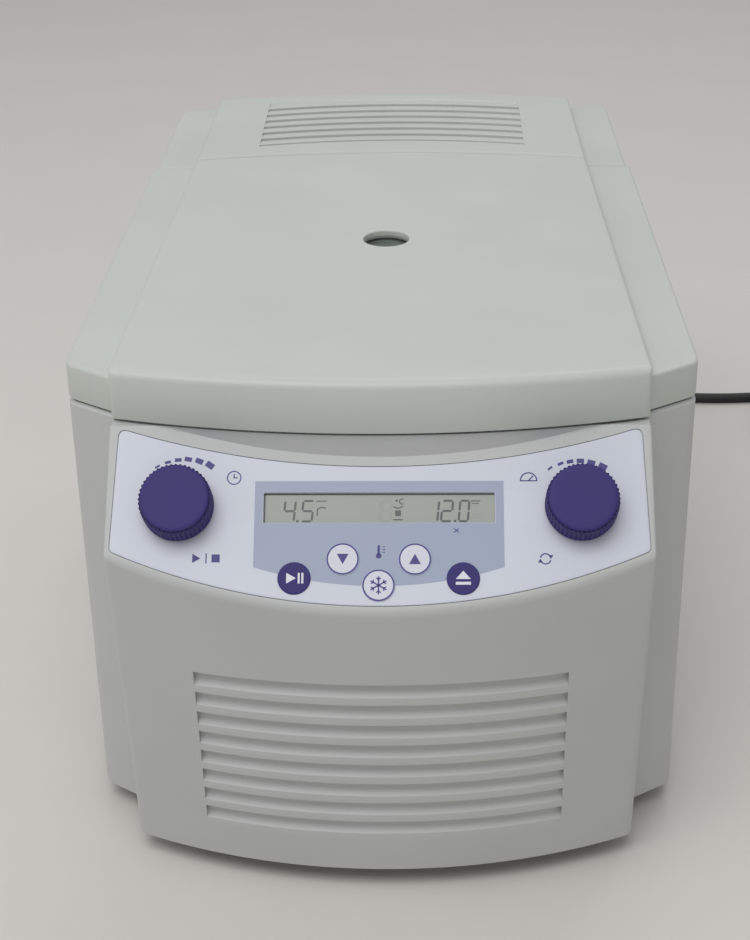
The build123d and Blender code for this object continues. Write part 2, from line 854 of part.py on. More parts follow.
# Feet
foot_places = [
    (side * (side_x(distance) - foot_inset), back(distance))
    for side in (-1, 1)
    for distance in (foot_front_row, foot_rear_row)
]
with BuildPart() as feet:
    with BuildSketch():
        with Locations(*foot_places):
            Circle(foot_radius)
    extrude(amount=foot_height)
    fillet(feet.faces().group_by(Axis.Z)[0].edges(), foot_edge)
finish(feet.part, "feet")

# Rear panel with the fan's slots and the opening for the inlet
panel_low = foot_height
panel_high = housing_top + pan_flange
fan_y = back(shroud_front + fan_front_gap)
with BuildPart() as rear_panel:
    with Locations((0, back(rear_panel_back - sheet / 2), (panel_low + panel_high) / 2)):
        Box(2 * (side_x(rear_panel_back, wall) - end_play), sheet, panel_high - panel_low)
    # above the housing's rim the panel stands inside the narrower rear cover
    notch = 2 * (cover_inset + cover_wall + corner_radius)
    for side in (-1, 1):
        with Locations((side * side_x(rear_panel_back), back(rear_panel_back), panel_high)):
            Box(notch, 4 * sheet, 2 * (panel_high - housing_top), mode=Mode.SUBTRACT)
    with Locations((inlet_across, back(rear_panel_back), module_middle)):
        Box(inlet_width + 2 * end_play, 4 * sheet, module_height + 2 * end_play, mode=Mode.SUBTRACT)
    rows = int((fan_radius - 4) / grille_pitch)
    for row in range(-rows, rows + 1):
        half = sqrt(fan_radius**2 - (row * grille_pitch) ** 2) - 2
        level = fan_height + row * grille_pitch
        row_start = (condenser_across, back(rear_panel_back), level)
        with BuildSketch(Plane(origin=row_start, x_dir=(1, 0, 0), z_dir=(0, -1, 0))):
            SlotOverall(2 * half, grille_slot)
        extrude(amount=2 * sheet, both=True, mode=Mode.SUBTRACT)
finish(rear_panel.part, "rear_panel")

# Pan-head screws that hold the rear panel
with BuildPart() as housing_screws:
    for side in (-1, 1):
        for height in (screw_low, screw_high):
            with Locations((side * (side_x(rear_panel_back) - screw_inset), back(rear_panel_back), height)):
                with Locations(Rotation(90, 0, 0)):
                    Cylinder(screw_radius, screw_head, align=(Align.CENTER, Align.CENTER, Align.MAX))
finish(housing_screws.part, "housing_screws")

# Bulkhead between the chamber and the cooling unit
with BuildPart() as bulkhead:
    with Locations((0, back(bulkhead_back - sheet / 2), pan_floor)):
        Box(
            2 * (side_x(bulkhead_back, wall) - 2 * end_play - sheet),
            sheet,
            bulkhead_height,
            align=(Align.CENTER, Align.CENTER, Align.MIN),
        )
finish(bulkhead.part, "bulkhead")

# Rotor bowl: pressed steel with a flange that lies on the deck
flange_top = housing_top + bowl_wall
seal_hole = seal_radius + seal_play
with BuildPart() as rotor_bowl:
    add(
        turned(
            [
                (seal_hole, bowl_floor - bowl_wall),
                (bowl_inner + bowl_wall, bowl_floor - bowl_wall),
                (bowl_inner + bowl_wall, housing_top),
                (bowl_flange, housing_top),
                (bowl_flange, flange_top),
                (bowl_inner, flange_top),
                (bowl_inner, bowl_floor),
                (seal_hole, bowl_floor),
            ]
        )
    )
    rim = rotor_bowl.edges().filter_by(GeomType.CIRCLE)
    fillet(rim.filter_by(lambda edge: abs(edge.radius - bowl_inner) < 0.01).sort_by(Axis.Z)[0], bowl_round)
finish(rotor_bowl.part, "rotor_bowl")

# Gasket round the bowl's flange, just under the lid's liner
liner_low = parting_height + liner_lift
with BuildPart() as chamber_gasket:
    gasket_inner = bowl_flange + seal_play
    add(ring(housing_top, gasket_inner, gasket_inner + gasket_width, liner_low - seal_play - housing_top))
finish(chamber_gasket.part, "chamber_gasket")

# Evaporator jacket round the bowl, and the foam round both
bowl_outer = bowl_inner + bowl_wall
with BuildPart() as evaporator_jacket:
    add(ring(jacket_low, bowl_outer + seal_play, jacket_radius, jacket_high - jacket_low))
finish(evaporator_jacket.part, "evaporator_jacket")
with BuildPart() as bowl_insulation:
    add(
        turned(
            [
                (seal_hole, foam_low),
                (foam_radius, foam_low),
                (foam_radius, housing_top - wall - seal_play),
                (bowl_outer + seal_play, housing_top - wall - seal_play),
                (bowl_outer + seal_play, jacket_high + seal_play),
                (jacket_radius + seal_play, jacket_high + seal_play),
                (jacket_radius + seal_play, jacket_low - seal_play),
                (bowl_outer + seal_play, jacket_low - seal_play),
                (bowl_outer + seal_play, bowl_floor - bowl_wall - seal_play),
                (seal_hole, bowl_floor - bowl_wall - seal_play),
            ]
        )
    )
finish(bowl_insulation.part, "bowl_insulation")

# Motor on its plate, on rubber dampers
with BuildPart() as motor_dampers:
    with BuildSketch(Plane.XY.offset(pan_floor)):
        with Locations((0, chamber_y)):
            damper_spread = mount_plate_side - 3 * damper_radius
            with GridLocations(damper_spread, damper_spread, 2, 2):
                Circle(damper_radius)
    extrude(amount=motor_low - mount_plate_thickness - pan_floor)
finish(motor_dampers.part, "motor_dampers")
with BuildPart() as motor_plate:
    with BuildSketch(Plane.XY.offset(motor_low - mount_plate_thickness)):
        with Locations((0, chamber_y)):
            RectangleRounded(mount_plate_side, mount_plate_side, damper_radius)
    extrude(amount=mount_plate_thickness)
finish(motor_plate.part, "motor_plate")
with BuildPart() as motor:
    add(ring(motor_low, 0, motor_radius, motor_high - motor_low))
    fillet(motor.faces().sort_by(Axis.Z)[-1].edges(), top_round)
    add(ring(motor_low + sheet, 0, shaft_radius + running_fit, motor_high), mode=Mode.SUBTRACT)
finish(motor.part, "motor")
with BuildPart() as shaft_seal:
    add(ring(motor_high, shaft_radius + seal_play, seal_radius, bowl_floor + 3 - motor_high))
finish(shaft_seal.part, "shaft_seal")

# Rotor with its lid and knob on the motor's shaft
rotor_top = rotor_low + rotor_height
rotor_bore = 0.6 * rotor_height
shaft_low = motor_low + sheet + end_play
with BuildPart() as motor_shaft:
    add(ring(shaft_low, 0, shaft_radius, rotor_low + rotor_bore - shaft_low))
finish(motor_shaft.part, "motor_shaft")
with BuildPart() as rotor:
    add(
        turned(
            [
                (0, rotor_low),
                (rotor_radius - rotor_taper, rotor_low),
                (rotor_radius, rotor_low + rotor_taper),
                (rotor_radius, rotor_top - 2),
                (rotor_radius - 2, rotor_top),
                (0, rotor_top),
            ]
        )
    )
    add(ring(rotor_low - 1, 0, shaft_radius + running_fit, rotor_bore + 1 + end_play), mode=Mode.SUBTRACT)
finish(rotor.part, "rotor")
with BuildPart() as rotor_lid:
    add(
        turned(
            [
                (0, rotor_top),
                (rotor_radius - 4, rotor_top),
                (rotor_radius - 4, rotor_top + 4),
                (rotor_radius - 12, rotor_top + rotor_lid_height),
                (0, rotor_top + rotor_lid_height),
            ]
        )
    )
finish(rotor_lid.part, "rotor_lid")
with BuildPart() as rotor_knob:
    knob_level = rotor_top + rotor_lid_height
    with BuildSketch(Plane(origin=(0, chamber_y, knob_level))):
        Circle(rotor_knob_radius)
        with PolarLocations(rotor_knob_radius + 2, 6):
            Circle(5, mode=Mode.SUBTRACT)
    extrude(amount=rotor_knob_height)
finish(rotor_knob.part, "rotor_knob")

# Lid liner: a flat plate in the lid's underside, open for the sight hole, striker and hinge arms
liner_high = liner_low + liner_thickness
with BuildPart() as lid_liner:
    with BuildSketch(Plane.XY.offset(liner_low)):
        add(body_face(wall + liner_gap, rear=seam_end - rear_lean - wall - liner_gap, rounded="front"))
        with BuildLine():
            inner_x = strip_half_front - wall - liner_gap
            lean = (liner_high - parting_height) / strip_rise
            end_y = back(-skirt_end + skirt_lean_end * lean + wall + liner_gap)
            bow(inner_x, end_y, back(-skirt_middle + skirt_lean_middle * lean + wall + liner_gap))
            Polyline((-inner_x, end_y), (-inner_x, back(0)), (inner_x, back(0)), (inner_x, end_y))
        make_face()
        with Locations((0, chamber_y)):
            Circle(sight_radius - sight_ledge, mode=Mode.SUBTRACT)
        with Locations((0, back(striker_back))):
            Rectangle(striker_thickness + 2 * end_play, striker_width + 2 * end_play, mode=Mode.SUBTRACT)
    extrude(amount=liner_thickness)
finish(lid_liner.part, "lid_liner")
with BuildPart() as liner_screws:
    with BuildSketch(Plane.XY.offset(liner_low - liner_screw_head)):
        with Locations((0, back((liner_screw_front_row + liner_screw_rear_row) / 2))):
            with GridLocations(2 * liner_screw_across, liner_screw_rear_row - liner_screw_front_row, 2, 2):
                Circle(liner_screw_radius)
    extrude(amount=liner_screw_head)
finish(liner_screws.part, "liner_screws")

# Sight tube between the liner and the lid, with a ledge for the glass
glass_top = strip_top - glass_sink
with BuildPart() as sight_tube:
    add(ring(liner_high, sight_radius, sight_radius + sight_wall, strip_top - wall - liner_high))
    ledge_top = glass_top - glass_thickness
    add(ring(liner_high, sight_radius - sight_ledge, sight_radius + sight_wall, ledge_top - liner_high))
finish(sight_tube.part, "sight_tube")
with BuildPart() as window_glass:
    add(ring(glass_top - glass_thickness, 0, sight_radius - running_fit, glass_thickness))
finish(window_glass.part, "window_glass")

# Hinge arms: goose-necks that reach round the front edge of the rear cover
seam_radius = ((strip_half_seam**2) + (seam_middle - seam_end) ** 2) / (2 * (seam_middle - seam_end))
seam_at_arm = seam_middle - hinge_across**2 / (2 * seam_radius)
clear_radius = hypot(seam_middle + hinge_setback - seam_at_arm - seam_gap, hinge_sink)
neck_inner = clear_radius + arm_clearance
neck_outer = neck_inner + arm_thickness
neck_middle = (neck_inner + neck_outer) / 2


def polar(radius, angle):
    """Point of the hinge's side view, with the angle from the rear, counter-clockwise"""
    return (radius * cos(radians(angle)), radius * sin(radians(angle)))


arm_angles = (arm_low_angle, (arm_low_angle + arm_high_angle) / 2, arm_high_angle)
with BuildPart() as hinge_arms:
    for side in (-1, 1):
        side_view = Plane(origin=(side * hinge_across, hinge_y, hinge_z), x_dir=(0, 1, 0), z_dir=(1, 0, 0))
        with BuildSketch(side_view):
            with BuildLine():
                ThreePointArc(*[polar(neck_outer, angle) for angle in arm_angles])
                Line(polar(neck_outer, arm_high_angle), polar(neck_inner, arm_high_angle))
                ThreePointArc(*[polar(neck_inner, angle) for angle in arm_angles])
                Line(polar(neck_inner, arm_low_angle), polar(neck_outer, arm_low_angle))
            make_face()
            # stem between the pin and the neck
            stem = neck_middle
            with Locations(polar(stem / 2, arm_low_angle)):
                Rectangle(stem, arm_thickness, rotation=arm_low_angle)
            with Locations(polar(neck_middle, arm_low_angle)):
                Circle(arm_thickness / 2)
            Circle(boss_radius)
            # foot that is screwed up under the top of the lid
            foot_start = -neck_inner
            with Locations((foot_start - arm_foot_length / 2, (hinge_sink - wall - arm_foot_drop) / 2)):
                Rectangle(arm_foot_length, hinge_sink - wall + arm_foot_drop)
            Circle(pin_radius + running_fit, mode=Mode.SUBTRACT)
            # the foot stays below the seam's edge
            with Locations((-neck_inner, hinge_sink)):
                Rectangle(2 * arm_foot_step, 2 * (hinge_sink - arm_foot_drop), mode=Mode.SUBTRACT)
        extrude(amount=arm_width / 2, both=True)
finish(hinge_arms.part, "hinge_arms")

# Rail across the rear compartment, and the brackets with their pins
rail_high = rail_low + rail_thickness
rail_half = side_x(rail_back, wall) - end_play
with BuildPart() as hinge_rail:
    with Locations((0, back((rail_front + rail_back) / 2), rail_low + rail_thickness / 2)):
        Box(2 * rail_half, rail_back - rail_front, rail_thickness)
    for distance in (rail_front + sheet / 2, rail_back - sheet / 2):
        with Locations((0, back(distance), rail_low - rail_lip / 2)):
            Box(2 * rail_half, sheet, rail_lip)
finish(hinge_rail.part, "hinge_rail")
with BuildPart() as hinge_brackets:
    base_back = rail_back - rail_margin
    base_front = seam_middle + hinge_setback - boss_radius
    for side in (-1, 1):
        across = side * hinge_across
        cheek_middle = (arm_width + cheek_thickness) / 2 + cheek_gap
        with Locations((across, back((base_front + base_back) / 2), rail_high + bracket_base / 2)):
            Box(2 * (cheek_middle + cheek_thickness / 2), base_back - base_front, bracket_base)
        for cheek in (-1, 1):
            side_view = Plane(
                origin=(across + cheek * cheek_middle, hinge_y, 0), x_dir=(0, 1, 0), z_dir=(1, 0, 0)
            )
            with BuildSketch(side_view):
                with BuildLine():
                    Polyline(
                        (-boss_radius, rail_high),
                        (-boss_radius, hinge_z),
                        (boss_radius, hinge_z),
                        (base_back - base_front - boss_radius, rail_high + bracket_base),
                        (base_back - base_front - boss_radius, rail_high),
                        close=True,
                    )
                make_face()
                with Locations((0, hinge_z)):
                    Circle(boss_radius)
                    Circle(pin_radius + running_fit, mode=Mode.SUBTRACT)
            extrude(amount=cheek_thickness / 2, both=True)
finish(hinge_brackets.part, "hinge_brackets")
with BuildPart() as hinge_pins:
    for side in (-1, 1):
        pin_plane = Plane(origin=(side * hinge_across, hinge_y, hinge_z), x_dir=(0, 1, 0), z_dir=(1, 0, 0))
        with BuildSketch(pin_plane):
            Circle(pin_radius)
        extrude(amount=arm_width / 2 + cheek_gap + cheek_thickness + 1, both=True)
finish(hinge_pins.part, "hinge_pins")

# Latch: the striker under the lid, the lock under the deck and its sliding bolt
bolt_height = housing_top - bolt_drop
with BuildPart() as lid_striker:
    with Locations((0, back(striker_back), liner_high)):
        Box(striker_foot, striker_width + 6, wall, align=(Align.CENTER, Align.CENTER, Align.MIN))
        Box(
            striker_thickness,
            striker_width,
            liner_high - housing_top + striker_drop,
            align=(Align.CENTER, Align.CENTER, Align.MAX),
        )
    eye = 2 * (bolt_radius + bolt_play)
    with Locations((0, back(striker_back), bolt_height)):
        Box(2 * striker_thickness, eye, eye, mode=Mode.SUBTRACT)
finish(lid_striker.part, "lid_striker")
latch_top = housing_top - wall
with BuildPart() as latch_housing:
    latch_middle = ((latch_left + latch_right) / 2, back((latch_front + latch_back) / 2), latch_top)
    with Locations(latch_middle):
        Box(
            latch_right - latch_left,
            latch_back - latch_front,
            latch_depth,
            align=(Align.CENTER, Align.CENTER, Align.MAX),
        )
    with Locations((0, back(striker_back), latch_top)):
        Box(striker_slot_x, striker_slot_y, 2 * (latch_depth - wall), mode=Mode.SUBTRACT)
    bore_start = (latch_left + wall, back(striker_back), bolt_height)
    bore_plane = Plane(origin=bore_start, x_dir=(0, 1, 0), z_dir=(1, 0, 0))
    with BuildSketch(bore_plane):
        Circle(bolt_radius + running_fit)
    extrude(amount=latch_right - latch_left, mode=Mode.SUBTRACT)
finish(latch_housing.part, "latch_housing")
with BuildPart() as latch_bolt:
    with BuildSketch(Plane(origin=(bolt_rest, back(striker_back), bolt_height), x_dir=(0, 1, 0), z_dir=(1, 0, 0))):
        Circle(bolt_radius)
    extrude(amount=bolt_length)
finish(latch_bolt.part, "latch_bolt")

# Power board on the pan, below the console
with BuildPart() as power_board:
    with Locations((0, back(board_back), pan_floor)):
        Box(power_board_width, sheet, power_board_height, align=(Align.CENTER, Align.CENTER, Align.MIN))
    for across, width, low, tall, deep in power_parts:
        with Locations((across, back(board_back) - sheet / 2, pan_floor + low)):
            Box(width, deep, tall, align=(Align.CENTER, Align.MAX, Align.MIN))
finish(power_board.part, "power_board")


# Compressor on its plate and rubber mounts
with BuildPart() as compressor_mounts:
    with BuildSketch(Plane.XY.offset(pan_floor)):
        with Locations((compressor_across, back(compressor_back))):
            spread = compressor_plate_side - 3 * compressor_mount_radius
            with GridLocations(spread, spread, 2, 2):
                Circle(compressor_mount_radius)
    extrude(amount=compressor_low - compressor_plate - pan_floor)
finish(compressor_mounts.part, "compressor_mounts")
with BuildPart() as compressor:
    with Locations((compressor_across, back(compressor_back), compressor_low)):
        can_height = compressor_high - compressor_low
        Cylinder(compressor_radius, can_height, align=(Align.CENTER, Align.CENTER, Align.MIN))
    fillet(compressor.faces().sort_by(Axis.Z)[-1].edges(), compressor_radius / 2)
    with Locations((compressor_across, back(compressor_back), compressor_low - compressor_plate)):
        Box(
            compressor_plate_side,
            compressor_plate_side,
            compressor_plate,
            align=(Align.CENTER, Align.CENTER, Align.MIN),
        )
finish(compressor.part, "compressor")

# Condenser: upright fins on level tubes
with BuildPart() as condenser:
    condenser_middle = back(condenser_front + condenser_depth / 2)
    with Locations((condenser_across, condenser_middle, pan_floor)):
        with GridLocations((condenser_width - fin_thickness) / (fin_count - 1), 1, fin_count, 1):
            Box(
                fin_thickness,
                condenser_depth,
                condenser_high - pan_floor,
                align=(Align.CENTER, Align.CENTER, Align.MIN),
            )
    tube_rows = 4
    for row in range(tube_rows):
        level = pan_floor + (row + 0.5) * (condenser_high - pan_floor) / tube_rows
        tube_plane = Plane(origin=(condenser_across, condenser_middle, level), x_dir=(0, 1, 0), z_dir=(1, 0, 0))
        with BuildSketch(tube_plane):
            Circle(condenser_tube)
        extrude(amount=condenser_width / 2, both=True)
finish(condenser.part, "condenser")

# Fan shroud with its spider and axle, and the fan that turns on it
fan_plane = Plane(origin=(condenser_across, fan_y, fan_height), x_dir=(1, 0, 0), z_dir=(0, 1, 0))
shroud_back = shroud_front + shroud_depth
with BuildPart() as fan_shroud:
    with Locations((condenser_across, back(shroud_front), pan_floor)):
        Box(
            condenser_width,
            shroud_depth,
            fan_height + fan_radius + fan_tip_gap + shroud_wall - pan_floor,
            align=(Align.CENTER, Align.MIN, Align.MIN),
        )
    with BuildSketch(fan_plane):
        Circle(fan_radius + fan_tip_gap)
    extrude(amount=2 * shroud_depth, both=True, mode=Mode.SUBTRACT)
    spider = fan_plane.offset(fan_depth + 3)
    with BuildSketch(spider):
        Circle(fan_hub_radius - 1)
        with PolarLocations((fan_radius + fan_tip_gap) / 2, 3):
            Rectangle(fan_radius + fan_tip_gap + 2, shroud_wall)
    extrude(amount=shroud_wall)
    with BuildSketch(fan_plane):
        Circle(fan_axle_radius)
    extrude(amount=fan_depth + 4)
finish(fan_shroud.part, "fan_shroud")
with BuildPart() as condenser_fan:
    with BuildSketch(fan_plane):
        Circle(fan_hub_radius)
    extrude(amount=fan_depth)
    for blade in range(fan_blades):
        turn = Plane(fan_plane.location * Location((0, 0, fan_depth / 2), (0, 0, 360 * blade / fan_blades)))
        root = Plane(turn.location * Location((fan_hub_radius - 2, 0, 0), (blade_tilt, 0, 0)))
        with BuildSketch(Plane(origin=root.origin, x_dir=root.y_dir, z_dir=root.x_dir)):
            Rectangle(fan_depth * 1.1, sheet)
        extrude(amount=fan_radius - fan_hub_radius)
    with BuildSketch(fan_plane):
        Circle(fan_axle_radius + running_fit)
    extrude(amount=fan_depth, mode=Mode.SUBTRACT)
finish(condenser_fan.part, "condenser_fan")

# Mains inlet with the rocker's well
panel_face = back(rear_panel_back)
with BuildPart() as power_inlet:
    with Locations((inlet_across, panel_face, module_middle)):
        Box(inlet_width, inlet_depth, module_height, align=(Align.CENTER, Align.MAX, Align.CENTER))
        Box(
            inlet_width + 2 * inlet_border,
            inlet_flange,
            module_height + 2 * inlet_border,
            align=(Align.CENTER, Align.MIN, Align.CENTER),
        )
    with Locations((inlet_across, panel_face + inlet_flange, inlet_height)):
        Box(
            socket_width,
            socket_depth,
            socket_tall,
            align=(Align.CENTER, Align.MAX, Align.CENTER),
            mode=Mode.SUBTRACT,
        )
    with Locations((inlet_across, panel_face + inlet_flange, rocker_height)):
        Box(
            rocker_width + 2 * socket_gap,
            rocker_well,
            rocker_tall + 1.2,
            align=(Align.CENTER, Align.MAX, Align.CENTER),
            mode=Mode.SUBTRACT,
        )
finish(power_inlet.part, "power_inlet")
rocker_y = panel_face + inlet_flange - rocker_thick / 2 + 1
tilt = radians(rocker_angle / 2)
rocker_middle = (inlet_across, rocker_y, rocker_height)
rocker_plane = Plane(origin=rocker_middle, x_dir=(1, 0, 0), z_dir=(0, cos(tilt), sin(tilt)))
with BuildPart() as power_rocker:
    with BuildSketch(rocker_plane):
        Rectangle(rocker_width, rocker_tall)
    extrude(amount=rocker_thick / 2, both=True)
finish(power_rocker.part, "power_rocker")

# Appliance connector, plugged in, with its tapered relief
connector_start = panel_face + inlet_flange + socket_gap
relief_start = connector_start + connector_length
with BuildPart() as cord_connector:
    nose_plane = Plane(origin=(inlet_across, connector_start, inlet_height), x_dir=(-1, 0, 0), z_dir=(0, 1, 0))
    with BuildSketch(nose_plane):
        Rectangle(socket_width - 2 * socket_gap, socket_tall - 2 * socket_gap)
    extrude(amount=-plug_in)
    with BuildSketch(nose_plane):
        RectangleRounded(connector_width, connector_tall, 4)
    extrude(amount=connector_length)
    with BuildSketch(nose_plane.offset(connector_length)):
        Circle(relief_radius)
    with BuildSketch(nose_plane.offset(connector_length + connector_relief)):
        Circle(relief_tip)
    loft()
finish(cord_connector.part, "cord_connector")
cord_exit = relief_start + connector_relief

# Lead: from the connector down to the table and away to the right
cord_radius = cord_diameter / 2
floor_z = cord_radius + floor_play
cord_route = [
    (inlet_across, cord_exit, inlet_height),
    (inlet_across, back(474), inlet_height),
    (13, back(500), 34),
    (45, back(515), 15),
    (90, back(513), floor_z),
    (138, back(497), floor_z),
    (184, back(476), floor_z),
    (232, back(470.5), floor_z),
    (272, back(coil_start[1]), floor_z),
    (coil_start[0] - cord_diameter, back(coil_start[1]), floor_z),
]
route = [Vector(*point) for point in cord_route]
radii = []
for before, corner, after in zip(route, route[1:], route[2:]):
    shorter = min((corner - before).length, (after - corner).length)
    turn = radians((corner - before).get_angle(after - corner))
    radii.append(0.45 * shorter / tan(turn / 2))
print("cord runs", [round((b - a).length, 1) for a, b in zip(route, route[1:])])
print("cord radii", [round(radius, 1) for radius in radii])
with BuildPart() as cord:
    with BuildLine() as cord_path:
        FilletPolyline(*route, radius=radii)
    start_plane = Plane(origin=route[0], z_dir=route[1] - route[0])
    with BuildSketch(start_plane):
        Circle(cord_radius)
    sweep()
finish(cord.part, "cord")
cord_length = cord_path.wire().length
print("cord length", round(cord_length, 1))
print("cord volume over section times length", round(cord.part.volume / (pi * cord_radius**2 * cord_length), 4))

# Coil: two layers of turns in half-turn arcs, in along the lower layer and out along the upper
outer_turn = coil_turn_radius + coil_pitch / 4 * (coil_half_turns - 1)
coil_x, coil_y = coil_start[0], back(coil_start[1])
side = 1
radius = outer_turn
here = Vector(coil_x, coil_y, floor_z)
lower_arcs, upper_arcs = coil_half_turns, coil_half_turns - 1
with BuildPart() as cord_coil:
    with BuildLine() as coil_path:
        Line(here - Vector(cord_diameter, 0, 0), here)
        for half_turn in range(lower_arcs):
            there = here - Vector(0, 2 * radius * side, 0)
            middle = (here + there) / 2 + Vector(radius * side, 0, 0)
            ThreePointArc(here, middle, there)
            here, side, radius = there, -side, radius - coil_pitch / 2
        # the climb between the layers, as two tangent quarter turns
        there = here - Vector(0, 2 * radius * side, -coil_layer_rise)
        chord = there - here
        middle = (here + there) / 2 + Vector(chord.length / 2 * side, 0, 0)
        TangentArc(here, middle, tangent=Vector(side, 0, 0))
        TangentArc(middle, there, tangent=chord)
        here, side, radius = there, -side, radius + coil_pitch / 2
        for half_turn in range(upper_arcs):
            there = here - Vector(0, 2 * radius * side, 0)
            middle = (here + there) / 2 + Vector(radius * side, 0, 0)
            ThreePointArc(here, middle, there)
            here, side, radius = there, -side, radius + coil_pitch / 2
        # a last quarter turn, and the tail that runs into the plug
        centre = here - Vector(0, radius * side, 0)
        there = centre + Vector(radius * side, 0, 0)
        middle = centre + Vector(sin(pi / 4), cos(pi / 4), 0) * (radius * side)
        ThreePointArc(here, middle, there)
        coil_end = there - Vector(0, coil_tail * side, 0)
        Line(there, coil_end)
    with BuildSketch(Plane(origin=(coil_x - cord_diameter, coil_y, floor_z), z_dir=(1, 0, 0))):
        Circle(cord_radius)
    sweep()
finish(cord_coil.part, "cord_coil")
coil_length = coil_path.wire().length
samples = [coil_path.wire() @ (step / 1500) for step in range(1501)]
apart = int(1500 * 3 * cord_diameter / coil_length)
least = min(
    (samples[first] - samples[second]).length
    for first in range(0, 1501, 2)
    for second in range(first + apart, 1501, 2)
)
print("coil length", round(coil_length, 1), "least gap to itself", round(least - cord_diameter, 2))
coil_expected = pi * cord_radius**2 * coil_length
print("coil volume over section times length", round(cord_coil.part.volume / coil_expected, 4))

# Moulded plug beside the coil
with BuildPart() as cord_plug:
    tip_plane = Plane(origin=coil_end, x_dir=(1, 0, 0), z_dir=(0, -side, 0))
    with BuildSketch(tip_plane):
        Circle(relief_tip)
    with BuildSketch(tip_plane.offset(plug_relief)):
        Circle(relief_radius)
    loft()
    with BuildSketch(tip_plane.offset(plug_relief)):
        RectangleRounded(plug_width, plug_tall, 4)
    extrude(amount=plug_length)
    with BuildSketch(tip_plane.offset(plug_relief + plug_length)):
        with Locations((-blade_spread / 2, 3), (blade_spread / 2, 3)):
            Rectangle(blade_thick, blade_wide)
        with Locations((0, -6)):
            Circle(earth_radius)
    extrude(amount=blade_length)
finish(cord_plug.part, "cord_plug")
print("whole lead in metres", round((cord_length + coil_length) / 1000, 3))
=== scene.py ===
# %% [markdown]
# # A refrigerated bench centrifuge
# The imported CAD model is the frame: its pieces hold the sizes and the joints. This notebook
# dresses it for a picture, one piece and one finish at a time. Every surface that shows is
# worked out with numpy from the machine's own sizes, and stands where its CAD piece stands.

# %% Load the frame
import bmesh
import bpy
import json
import numpy as np
from math import cos, pi, radians, sin, sqrt, tan
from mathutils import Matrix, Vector


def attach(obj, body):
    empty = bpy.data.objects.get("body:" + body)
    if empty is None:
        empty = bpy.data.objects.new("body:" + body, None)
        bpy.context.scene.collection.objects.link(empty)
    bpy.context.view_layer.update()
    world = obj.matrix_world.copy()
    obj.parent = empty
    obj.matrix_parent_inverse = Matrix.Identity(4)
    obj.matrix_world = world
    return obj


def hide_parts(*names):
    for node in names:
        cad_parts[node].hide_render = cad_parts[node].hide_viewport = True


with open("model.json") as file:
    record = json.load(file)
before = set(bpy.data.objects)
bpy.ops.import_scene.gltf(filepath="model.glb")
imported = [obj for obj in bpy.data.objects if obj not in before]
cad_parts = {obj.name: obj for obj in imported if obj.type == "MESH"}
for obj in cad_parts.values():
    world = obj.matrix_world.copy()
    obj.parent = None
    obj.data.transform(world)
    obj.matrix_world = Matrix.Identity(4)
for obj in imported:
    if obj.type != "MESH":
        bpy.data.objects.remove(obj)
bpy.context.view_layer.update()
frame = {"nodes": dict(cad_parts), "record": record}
nodes = frame["nodes"]

# %% [markdown]
# ## The machine's sizes
# The numbers below are the CAD model's, in millimetres, with Y to the back and Z up. They
# could be read off the meshes, but a moulded shape is easier to follow from the few sizes that
# a designer would write on its drawing: half widths, heights and the bow of each long edge.

# %% Sizes in millimetres
HALF_FRONT, HALF_REAR, BODY_LENGTH = 145.0, 137.4, 394.0
WING_INNER, WING_REACH, WALL = 121.7, 15.5, 3.0
FOOT, HOUSING_TOP, PARTING, LINER_TOP = 11.0, 228.6, 230.0, 236.0
SHOULDER_TOP, STRIP_TOP = 247.5, 253.4
FRONT_Y = 90.1 - 2.1 - (BODY_LENGTH + 90.1 - 2.1 + 13.4) / 2
CHAMBER_Y = FRONT_Y + 143.6
SLOPE = radians(45)


def back(distance):
    """Y of a place this far behind the line through the front corners"""
    return FRONT_Y + distance


def side_x(distance):
    """Half width of the body, which narrows evenly to the rear"""
    return HALF_FRONT - (HALF_FRONT - HALF_REAR) * distance / BODY_LENGTH


print("front line at Y", round(FRONT_Y, 1), "chamber at Y", round(CHAMBER_Y, 1))

# %% [markdown]
# ## The camera
# The photographer stands in front, a little to the right, and looks down on the machine. A
# camera could be placed by eye, but four corners of known size fix it better: they give the
# place, the tilt and a lens of about 72 mm. The camera comes first, since everything is judged
# through it.

# %% Camera


def placed(name, data):
    """A new object with this mesh, curve, lamp or camera in the scene"""
    thing = bpy.data.objects.new(name, data)
    bpy.context.scene.collection.objects.link(thing)
    return thing


view_down, view_left, view_roll = radians(27.7), radians(-1.9), radians(-1.0)
forward = np.array([sin(view_left) * cos(view_down), cos(view_left) * cos(view_down), -sin(view_down)])
level = np.array([cos(view_left), -sin(view_left), 0.0])
upward = np.cross(level, forward)
right_hand = level * cos(view_roll) + upward * sin(view_roll)
head_up = upward * cos(view_roll) - level * sin(view_roll)
camera = placed("camera", bpy.data.cameras.new("camera"))
camera.data.lens, camera.data.sensor_width = 71.54, 36.0
camera.data.clip_end = 50
placing = np.eye(4)
placing[:3, 0], placing[:3, 1], placing[:3, 2] = right_hand, head_up, -forward
placing[:3, 3] = (0.0225, -0.9367, 0.600)
camera.matrix_world = placing.T.tolist()
bpy.context.scene.camera = camera
print("camera looks along", forward.round(3))

# %% [markdown]
# ## From numbers to a mesh
# Most of the shell is a closed outline seen from above, carried up through a stack of levels.
# Modelling tools would extrude and bevel it. Here each level is an array of points, so one
# helper can join any stack of rings into a surface, and every rounded edge is just a few more
# rings.

# %% Mesh helpers


